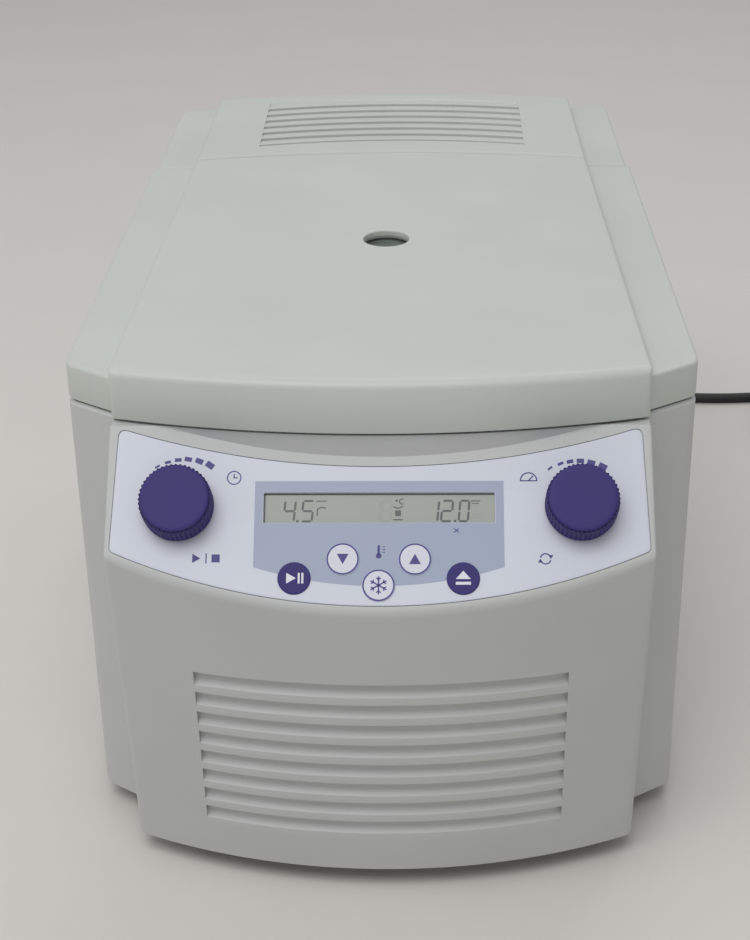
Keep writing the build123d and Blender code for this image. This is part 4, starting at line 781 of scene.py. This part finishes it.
# %% Wall with its louvres, and the rounding to the panel
POCKET_HALF, POCKET_MORE = 41.0, 3.0
cut = evened(np.where(on_front, 2.8, 1.6))[:, None]
reach = edge_ring - foot_ring
start = edge_ring - reach * cut / np.linalg.norm(reach, axis=1, keepdims=True)
end_flat = console_ring(back(-70.0), middle_y, 1.9, 1.6, 1.5)
end_ring = raised(end_flat, np.minimum(NOSE_Z + end_flat[:, 1] - PANEL_Y, HOUSING_TOP))
levels = np.concatenate([[FOOT + 0.6, 20, 30], louvre_depth(0)[0], [132, 140, 148]])
wall_rings = [raised(foot, FOOT + 8) * (0.975, 0.985, 1), raised(foot, FOOT) * (0.975, 0.985, 1),
              raised(foot, FOOT) * (0.996, 0.997, 1)]
louvred = (np.abs(foot[:, 0]) < LOUVRE_HALF) & (foot[:, 1] < back(-20))
for z in levels:
    ring = foot_ring + reach * ((z - FOOT) / (edge_z - FOOT))[:, None]
    ring[:, 1] += np.where(louvred, louvre_depth(z)[1], 0)
    wall_rings.append(ring)
last = wall_rings[-1]
wall_rings += [last + (start - last) * s for s in (0.33, 0.67, 0.99)]
# the striker's notch opens into a wider pocket below the deck, where the latch works
in_notch = (np.abs(np.abs(foot[:, 0]) - SLOT_HALF) < 0.01) & (foot[:, 1] > back(-40))
deep = in_notch & (foot[:, 1] < DECK_EDGE - 1)
for ring in wall_rings:
    ring[in_notch, 0] = np.sign(ring[in_notch, 0]) * POCKET_HALF
    ring[deep, 1] -= POCKET_MORE
for t in np.linspace(0, 1, 8):
    wall_rings.append((1 - t) ** 2 * start + 2 * t * (1 - t) * edge_ring + t**2 * end_ring)
around = len(foot)
first_end = (len(wall_rings) - 1) * around
print("console:", len(wall_rings), "rings of", around)

# %% [markdown]
# Behind the panel a low neck rises to the deck. It is one strip of quads, bowed like the lid's
# skirt above it, between the panel's upper edge and the level top.

# %% Neck under the lid
NECK_POINTS = 81
panel_half = CONSOLE_HALF - 1.6
fold_left, fold_right = [nearest(end_flat, (side * panel_half, FOLD_Y)) for side in (-1, 1)]
x = np.linspace(panel_half, -panel_half, NECK_POINTS)
neck_y = np.minimum(bow_y(x, CONSOLE_HALF, NECK_ENDS, NECK_MIDDLE), FOLD_Y)
neck_low = np.column_stack([x, neck_y, np.minimum(NOSE_Z + neck_y - PANEL_Y, HOUSING_TOP)])
neck_high = np.column_stack([x, neck_y, np.full(NECK_POINTS, HOUSING_TOP)])
print("neck rises by", round(float((neck_high - neck_low)[:, 2].max()), 1), "mm")

# %% [markdown]
# ## The keypad film
# A pale film is stuck into a shallow recess of the panel. Its outline is bowed above and below.
# The film is a thin plate with a softened edge and a window, and a thin dark gap is left
# between it and the moulding, as on the real panel.

# %% Keypad outline


def keypad_outline(grow=0.0, inset=0.0):
    """Outline of the film in panel coordinates: bowed bottom and top, slanted sides"""
    bottom_x, top_x = np.linspace(-119, 119, 121), np.linspace(117, -117, 121)
    bottom = np.column_stack([bottom_x, bow_y(bottom_x, 119, 2.8, -21.9)])
    top = np.column_stack([top_x, bow_y(top_x, 117, 59.8, 41.5)])
    sides = [bottom, np.linspace(bottom[-1], top[0], 9), top, np.linspace(top[-1], bottom[0], 9)]
    return outline(sides, (2.0, 2.0, 4.5, 4.5), (80, 30, 80, 30), 6, [inset - grow] * 4)


recess = keypad_outline(grow=0.35)
print("film's outline has", len(recess), "points")

# %% [markdown]
# Now the console's parts are joined: the stack of rings, the panel with the recess cut out of
# it, the neck, and the level top. A face with a hole is two faces that meet along two cuts.

# %% The console's mesh


def between(start, end):
    """Numbers of the points of the wall's last ring from one place on to another"""
    return [first_end + (start + k) % around for k in range((end - start) % around + 1)]


recess_rings = [panel_point(recess[:, 0], recess[:, 1], h) for h in (0.0, -0.8)]
recess_rings.append(panel_point(*keypad_outline(inset=1.5).T, -0.8))
points = np.concatenate(wall_rings + [neck_low, neck_high] + recess_rings)
first_low = len(wall_rings) * around
first_high = first_low + NECK_POINTS
first_recess = first_high + NECK_POINTS
in_front = between(fold_left, fold_right)
panel_loop = in_front + loop(first_low, NECK_POINTS)
behind = between(fold_right, fold_left)
top_loop = behind + loop(first_high, NECK_POINTS)[::-1]
hole_loop = loop(first_recess, len(recess))
spots = [panel_point(side * 119.5, 15.0) for side in (-1, 1)]
cuts = bridges(points[panel_loop], points[hole_loop], spots)
faces = ring_faces(len(wall_rings), around) + [loop(0, around)[::-1], top_loop]
faces += face_with_hole(panel_loop, hole_loop, cuts)
faces += [face[::-1] for face in grid_faces(2, NECK_POINTS, first_low)]
faces += ring_faces(3, len(recess), first_recess)
add_mesh("console", points, faces, "shell", "cabinet", ["front_fascia"], smooth=32)
print("console mesh:", len(points), "points")

# %% The film and its display window
WINDOW = (51.3, 15.6, 29.8)


def window_outline(inset=0.0, corner=0.6):
    """Outline of the display window in panel coordinates"""
    half, low_u, high_u = WINDOW
    corners = np.array([(-half, low_u), (half, low_u), (half, high_u), (-half, high_u)])
    sides = [np.linspace(corners[k], corners[(k + 1) % 4], 9) for k in range(4)]
    return outline(sides, (corner,) * 4, (24, 8, 24, 8), 3, [inset] * 4)


film = [panel_point(*keypad_outline(inset=i).T, h)
        for i, h in ((0.0, -0.75), (0.0, -0.02), (0.06, 0.04), (0.2, 0.08), (1.2, 0.08))]
window = [panel_point(*window_outline(i).T, h)
          for i, h in ((-0.5, 0.08), (0.0, 0.05), (0.1, -0.05), (0.15, -2.0))]
around, hole_around = len(film[0]), len(window[0])
first_window = len(film) * around
points = np.concatenate(film + window)
outer, inner = loop(first_window - around, around), loop(first_window, hole_around)
cuts = bridges(points[outer], points[inner], [panel_point(side * 117, 22) for side in (-1, 1)])
faces = ring_faces(len(film), around) + ring_faces(len(window), hole_around, first_window)
faces += face_with_hole(outer, inner, cuts)
add_mesh("keypad_film", points, faces, "overlay", "cabinet", ["keypad_overlay"])
print("film:", len(points), "points")

# %% [markdown]
# ## Turned pieces on the panel
# Knobs and keys are bodies of revolution: a profile of radius and height, swung round an axis
# that stands out of the sloped panel. The knobs have ribs for the fingers, made by letting the
# radius swing with the angle as a cosine, only over the heights where the profile asks for it.

# %% Knobs
KNOB_X, KNOB_U, RIBS, RIB_POINTS = 89.2, 23.2, 48, 8


def turned_on_panel(x, u, profile, count, ribs=0, rib_depth=None):
    """Points x + r cos a, u + r sin a, h for each radius r and height h of the profile. With ribs,
    r shrinks by depth * (1 - cos(ribs a)) / 2, where the profile gives a depth."""
    angle = np.linspace(0, 2 * pi, count, endpoint=False)
    profile = np.array(profile, float)
    depth = np.zeros(len(profile)) if rib_depth is None else np.array(rib_depth, float)
    radius = profile[:, :1] - depth[:, None] * (0.5 - 0.5 * np.cos(ribs * angle))[None, :]
    height = np.broadcast_to(profile[:, 1:], radius.shape)
    points = panel_point(x + radius * np.cos(angle), u + radius * np.sin(angle), height)
    return points.reshape(-1, 3), capped_faces(len(profile), count)


knob_profile = [(13.0, 0.9), (15.7, 0.9), (16.15, 1.3), (16.25, 2.2), (16.25, 3.0), (16.25, 11.2),
                (16.2, 12.0), (16.05, 12.6), (15.75, 12.95), (15.45, 12.8), (15.4, 12.4), (15.2, 12.4),
                (15.2, 13.7), (15.05, 14.1), (14.7, 14.38), (13.8, 14.5), (12.0, 14.5)]
knob_ribs = [0, 0, 0, 0.15, 0.75, 0.75, 0.75, 0.7, 0.45, 0.1, 0, 0, 0, 0, 0, 0, 0]
for name, side, body in (("time_knob", -1, "time_dial"), ("speed_knob", 1, "speed_dial")):
    points, faces = turned_on_panel(side * KNOB_X, KNOB_U, knob_profile, RIBS * RIB_POINTS, RIBS,
                                    knob_ribs)
    add_mesh(name + "_cap", points, faces, "knob", body, [name])
print("knob points:", len(points))

# %% [markdown]
# Five round keys stand just proud of the film. The outer two are violet with white signs, the
# inner three are white with a dark ring. In place of words they carry plain signs that say the
# same: run, colder, fast cooling, warmer and open.

# %% Keys
keys = {
    "short_run_key": (-37.0, -9.6), "temp_down_key": (-15.8, -0.9), "fast_cool_key": (0.0, -12.8),
    "temp_up_key": (15.9, -1.0), "lid_open_key": (37.0, -9.7),
}
key_profile = [(6.6, -0.6), (7.3, -0.6), (7.3, 0.35), (7.2, 0.58), (6.95, 0.7), (6.4, 0.7)]
for name, (x, u) in keys.items():
    points, faces = turned_on_panel(x, u, key_profile, 96)
    slot = "knob" if name in ("short_run_key", "lid_open_key") else "white_key"
    add_mesh(name + "_cap_face", points, faces, slot, name + "_cap", [name])
print("keys:", len(keys))

# %% [markdown]
# ## Printed signs
# Printing on the film is a hair-thin layer of ink. A texture would blur when the camera comes
# close, so each sign is a thin closed plate a few hundredths of a millimetre high, cut from
# plain shapes: strokes, arcs and triangles worked out in panel coordinates. The broad field
# under the display is a single sheet just above the film.

# %% Inks and shapes
finishes["ink"] = new_material("violet_ink", (66, 60, 130), 0.5, 0.0, 0.03)
finishes["white_ink"] = new_material("white_ink", (228, 229, 238), 0.5, 0.0, 0.03)
finishes["field"] = new_material("display_field", (158, 168, 190), 0.42, 0.0, 0.02)
finishes["digits"] = new_material("display_digits", (66, 76, 72), 0.35, 0.0, 0.02)
finishes["faint_digits"] = new_material("display_digits_faint", (148, 155, 146), 0.35, 0.0, 0.02)


def stroke(line, width):
    """Outline of a line with a width: the line moved to either side by half of it"""
    line = np.asarray(line, float)
    run = np.gradient(line, axis=0)
    run /= np.linalg.norm(run, axis=1, keepdims=True)
    side = width / 2 * np.column_stack([-run[:, 1], run[:, 0]])
    return np.concatenate([line - side, (line + side)[::-1]])


def arc(x, u, radius, start, end, count=24):
    """Points on a circle between two angles in degrees"""
    a = np.radians(np.linspace(start, end, count))
    return np.column_stack([x + radius * np.cos(a), u + radius * np.sin(a)])


def box(x, u, width, height, lean=0.0):
    """A rectangle round a middle, leaned by a shift of its upper side"""
    corners = np.array([(-1, -1), (1, -1), (1, 1), (-1, 1)]) * (width / 2, height / 2)
    return corners + (x, u) + np.column_stack([lean * corners[:, 1], np.zeros(4)])


def add_print(name, shapes, finish, body, h, depth=0.05):
    """Closed plates cut from flat outlines, all in one mesh, from h - depth up to h"""
    points, faces, first = [], [], 0
    for shape in shapes:
        shape = np.asarray(shape, float)
        x, u = shape.T
        if np.sum(np.roll(x, 1) * u - np.roll(u, 1) * x) < 0:
            shape = shape[::-1]
        count = len(shape)
        points += [panel_point(*shape.T, h - depth), panel_point(*shape.T, h)]
        faces += [[k + first for k in face] for face in capped_faces(2, count)]
        first += 2 * count
    return add_mesh(name, np.concatenate(points), faces, finish, body, merge=False)


def ring_shapes(x, u, radius, width, parts=4):
    """A printed ring as a few curved strokes"""
    step = 360 / parts
    return [stroke(arc(x, u, radius, k * step, (k + 1) * step, 20), width) for k in range(parts)]


print("inks ready")

# %% Signs on the keys


def ray(angle, length):
    """The point at a length along a direction"""
    return np.array([cos(angle), sin(angle)]) * length


snowflake = [stroke([ray(a, -4.0), (0, 0), ray(a, 4.0)], 0.65) for a in np.radians([30, 90, 150])]
snowflake += [stroke([ray(a, 2.5) + ray(a + t, 1.3), ray(a, 2.5)], 0.5)
              for a in np.radians(np.arange(30, 390, 60)) for t in (0.9, -0.9)]
signs = {
    "short_run_key": [[(-3.4, 2.4), (-3.4, -2.4), (0.8, 0)]] + [box(x, 0, 0.9, 4.8) for x in (2.1, 3.7)],
    "temp_down_key": [[(-2.6, 2.3), (0, -2.4), (2.6, 2.3)]],
    "fast_cool_key": snowflake,
    "temp_up_key": [[(-2.6, -2.3), (2.6, -2.3), (0, 2.4)]],
    "lid_open_key": [[(-3.3, -0.3), (3.3, -0.3), (0, 3.4)], box(0, -2.2, 6.6, 1.3)],
}
for name, (x, u) in keys.items():
    violet = name in ("short_run_key", "lid_open_key")
    shapes = [np.asarray(shape, float) + (x, u) for shape in signs[name]]
    if not violet:
        shapes += ring_shapes(x, u, 6.75, 0.7)
    add_print(name + "_sign", shapes, "white_ink" if violet else "ink", name + "_cap", 0.74)
print("signs on", len(signs), "keys")

# %% [markdown]
# The film itself carries a blue-grey field round the display, a row of growing marks over each
# knob and small signs where the real one has words: a clock, a gauge, start and stop, and a
# thermometer.

# %% The field round the display


def field_outline():
    """The blue-grey field: straight above and at the sides, bowed below behind the keys"""
    x = np.linspace(-55.1, 55.1, 81)
    low = np.column_stack([x, bow_y(x, 55.1, -4.5, -13.0)])
    return np.concatenate([low, [(55.1, 34.9), (-55.1, 34.9)]])


def plate_with_hole(name, outer, hole, finish, h):
    """A printed area with a gap, filled with triangles between the two outlines"""
    sheet = bmesh.new()
    edges = []
    for border_line in (outer, hole):
        places = panel_point(*np.asarray(border_line, float).T, h) / 1000
        dots = [sheet.verts.new(place) for place in places.tolist()]
        edges += [sheet.edges.new((dots[k - 1], dots[k])) for k in range(len(dots))]
    bmesh.ops.triangle_fill(sheet, use_beauty=True, use_dissolve=False, edges=edges)
    outwards = np.array([0, -sqrt(0.5), sqrt(0.5)])
    turned_in = [f for f in sheet.faces if np.dot(f.normal, outwards) < 0]
    bmesh.ops.reverse_faces(sheet, faces=turned_in)
    mesh = bpy.data.meshes.new(name)
    sheet.to_mesh(mesh)
    sheet.free()
    piece = placed(name, mesh)
    mesh.materials.append(finishes[finish])
    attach(piece, "cabinet")
    return piece


half, low_u, high_u = WINDOW
gap = np.array([(-1, -1), (1, -1), (1, 1), (-1, 1)]) * (half, (high_u - low_u) / 2)
gap = gap * (1.002, 1.01) + (0, (low_u + high_u) / 2)
plate_with_hole("display_field", field_outline(), gap, "field", 0.12)
print("field points:", len(field_outline()))

# %% [markdown]
# The marks over each knob lie on an arc round it and grow to the right, as a scale from low to
# high. Each is a small box turned to face the knob.

# %% Marks over the knobs
marks = []
left_marks = [(-99.1, 41.8), (-94.5, 43.8), (-89.9, 44.9), (-85.4, 45.2), (-80.4, 44.3), (-75.6, 42.4)]
right_marks = [(75.8, 40.7), (80.5, 42.8), (84.7, 43.8), (89.3, 44.1), (94.1, 43.2), (99.1, 41.4)]
for row, centre in ((left_marks, -KNOB_X), (right_marks, KNOB_X)):
    for k, (x, u) in enumerate(row):
        tilt = np.arctan2(u - KNOB_U, x - centre) - pi / 2
        turn = np.array([[cos(tilt), sin(tilt)], [-sin(tilt), cos(tilt)]])
        marks.append(box(0, 0, 2.4 + 0.28 * k, 0.9 + 0.38 * k) @ turn + (x, u))
print("marks:", len(marks))

# %% Small signs
clock = ring_shapes(-64.6, 36.5, 3.0, 0.5)
clock += [stroke([(-64.6, 38.4), (-64.6, 36.5)], 0.5), stroke([(-64.9, 36.5), (-63.1, 36.5)], 0.5)]
gauge = [stroke(arc(66.2, 35.0, 3.6, 0, 180, 24), 0.55), stroke([(66.2, 35.0), (68.2, 37.2)], 0.55),
         box(66.2, 34.9, 7.6, 0.5)]
start_stop = [[(-82.0, -2.6), (-82.0, 1.6), (-78.4, -0.5)], box(-75.9, -0.5, 0.5, 4.6),
              box(-71.7, -0.5, 3.6, 3.6)]
change = [stroke(arc(73.0, -0.8, 2.3, start, start + 145, 18), 0.55) for start in (20, 200)]
change += [[(74.2, 0.9), (76.4, 0.9), (75.3, -0.9)], [(71.8, -2.5), (69.6, -2.5), (70.7, -0.7)]]
thermometer = [box(0, 3.3, 1.1, 4.2), circle(1.25, (0, 0.6), 24)]
thermometer += [box(2.2, u, 1.2, 0.4) for u in (4.6, 3.4, 2.2)]
times = [stroke([(33.0, 11.2), (35.2, 13.0)], 0.4), stroke([(33.0, 13.0), (35.2, 11.2)], 0.4)]
film_signs = marks + clock + gauge + start_stop + change + thermometer + times
add_print("film_print", film_signs, "ink", "cabinet", 0.15)
print("printed shapes:", len(film_signs))

# %% [markdown]
# ## The display
# The real one is a liquid-crystal display behind a clear lens. Here both are one pale, opaque
# plate 2 mm under the film, because the figures read the same and stay sharp in any light. They
# are built from seven segments, each a slim hexagon. Dark strips at the top and left stand for
# the shadow of the frame round the glass.

# %% Display glass and figures


def segment(x, u, length, width, upright, lean):
    """A slim hexagon, lying or upright, leaned like the whole figure"""
    l, w = length / 2, width / 2
    shape = np.array([(-l, 0), (-l + w, -w), (l - w, -w), (l, 0), (l - w, w), (-l + w, w)])
    if upright:
        shape = shape[:, ::-1] * (1, -1)
    shape = shape + (x, u)
    return shape + np.column_stack([lean * (shape[:, 1]), np.zeros(6)])


def figure(number, x, u, width, height, thick=1.0, lean=0.09):
    """Seven segments of one digit, with its lower left corner at (x, u)"""
    lit = {"0": "abcdef", "1": "bc", "2": "abged", "4": "fgbc", "5": "afgcd", "8": "abcdefg"}[number]
    w, h = width - thick, height - thick
    places = {"a": (w / 2, h, 0), "g": (w / 2, h / 2, 0), "d": (w / 2, 0, 0), "f": (0, 0.75 * h, 1),
              "b": (w, 0.75 * h, 1), "e": (0, 0.25 * h, 1), "c": (w, 0.25 * h, 1)}
    shapes = []
    for part in lit:
        dx, du, upright = places[part]
        length = (h / 2 if upright else w) * 0.94
        shapes.append(segment(dx + thick / 2, du + thick / 2, length, thick, upright, lean) + (x, u))
    return shapes


print("segments in an 8:", len(figure("8", 0, 0, 5.6, 10.4)))

# %% Display with its figures
GLASS_H, FIGURE_U, FIGURE_HEIGHT = -1.9, 16.4, 10.4
add_print("display_glass", [window_outline(-0.6)], "lens", "cabinet", GLASS_H, depth=0.6)
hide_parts("display_window")
dark = [box(x, 17.0, 1.1, 1.1) for x in (-36.2, 33.6)]
for number, x, width in (("4", -43.0, 5.6), ("5", -35.0, 5.6), ("1", 20.6, 5.6), ("2", 26.8, 5.6),
                         ("0", 34.6, 5.0)):
    dark += figure(number, x, FIGURE_U, width, FIGURE_HEIGHT)
dark += [box(-25.6, 26.2, 4.4, 0.5), box(7.8, 26.4, 1.0, 1.0), box(8.4, 20.6, 2.6, 2.6),
         box(8.4, 17.6, 4.2, 0.6), box(42.6, 26.2, 4.4, 0.5), box(42.6, 25.0, 3.0, 0.4)]
dark += [stroke([(-27.4, 19.4), (-27.4, 22.4), (-25.6, 23.4), (-23.6, 23.0)], 0.6),
         stroke(arc(10.2, 26.0, 1.2, 60, 300, 14), 0.5),
         stroke([(6.4, 23.6), (8.4, 22.8), (10.6, 23.8)], 0.6)]
faint = figure("1", -5.0, FIGURE_U, 5.2, FIGURE_HEIGHT) + figure("8", 0.2, FIGURE_U, 5.2, FIGURE_HEIGHT)
faint += [box(43.0, u, 4.0, 0.5) for u in (20.0, 18.8)]
for name, shapes, finish in (("display_figures", dark, "digits"),
                             ("display_faint_figures", faint, "faint_digits")):
    add_print(name, shapes, finish, "cabinet", GLASS_H + 0.04, depth=0.03)
# painted shadow of the frame round the glass: dark strips at the top and left, in the figures' ink
frame_shadow = [box(0, high_u - 0.35, 2 * half + 0.6, 0.9),
                box(-half + 0.25, (low_u + high_u) / 2, 1.1, 14.6)]
add_print("display_frame_painted_shadow", frame_shadow, "digits", "cabinet", GLASS_H + 0.02, depth=0.02)
print("figures:", len(dark) + len(faint), "shapes")

# %% [markdown]
# ## Table, backdrop and light
# The real machine stands by a window on a pale table. Here the floor and the world are plain,
# and three soft lamps do the window's work: a wide one high in front, which lights the panel and
# the louvre lips more than the upright walls, a weaker one behind and a weak one at the side.
# The world is brighter to the camera and in reflections than it is as a light.

# %% Stage and lamps
floor_mesh = bpy.data.meshes.new("floor")
floor_mesh.from_pydata([(-4, -4, 0), (4, -4, 0), (4, 6, 0), (-4, 6, 0)], [], [(0, 1, 2, 3)])
floor = placed("floor", floor_mesh)
floor_mesh.materials.append(new_material("floor", (222, 218, 212), 0.6, 0.0, 0.02))
world = bpy.data.worlds.new("studio")
bpy.context.scene.world = world
world.use_nodes = True
tree = world.node_tree
light_path = add_node(tree, "LightPath")
seen = light_path.outputs["Is Camera Ray"]
for kind in ("Is Glossy Ray", "Is Transmission Ray"):
    seen = add_node(tree, "Math", {0: seen, 1: light_path.outputs[kind]}, operation="MAXIMUM").outputs[0]
strength = add_node(tree, "MapRange", {"Value": seen, "To Min": 0.42, "To Max": 0.62})
sky = tree.nodes["Background"]
sky.inputs["Color"].default_value = (0.86, 0.88, 0.90, 1)
tree.links.new(strength.outputs["Result"], sky.inputs["Strength"])


def area_lamp(name, place, target, width, depth, power):
    """A soft rectangular lamp that faces a target"""
    lamp = bpy.data.lights.new(name, "AREA")
    lamp.shape, lamp.size, lamp.size_y, lamp.energy = "RECTANGLE", width, depth, power
    holder = placed(name, lamp)
    holder.location = place
    direction = Vector(target) - Vector(place)
    holder.rotation_euler = direction.to_track_quat("-Z", "Y").to_euler()
    return holder


area_lamp("window_above", (-0.35, -1.05, 1.95), (0, 0, 0.15), 1.5, 1.2, 19)
area_lamp("ceiling_rear", (0.3, 1.0, 1.9), (0, 0.1, 0.2), 1.4, 1.2, 7)
area_lamp("side_edge", (-1.9, -0.2, 0.9), (0, 0, 0.15), 0.8, 1.2, 4)
bpy.context.scene.view_settings.view_transform = "Standard"
print("lamps:", len(bpy.data.lights))
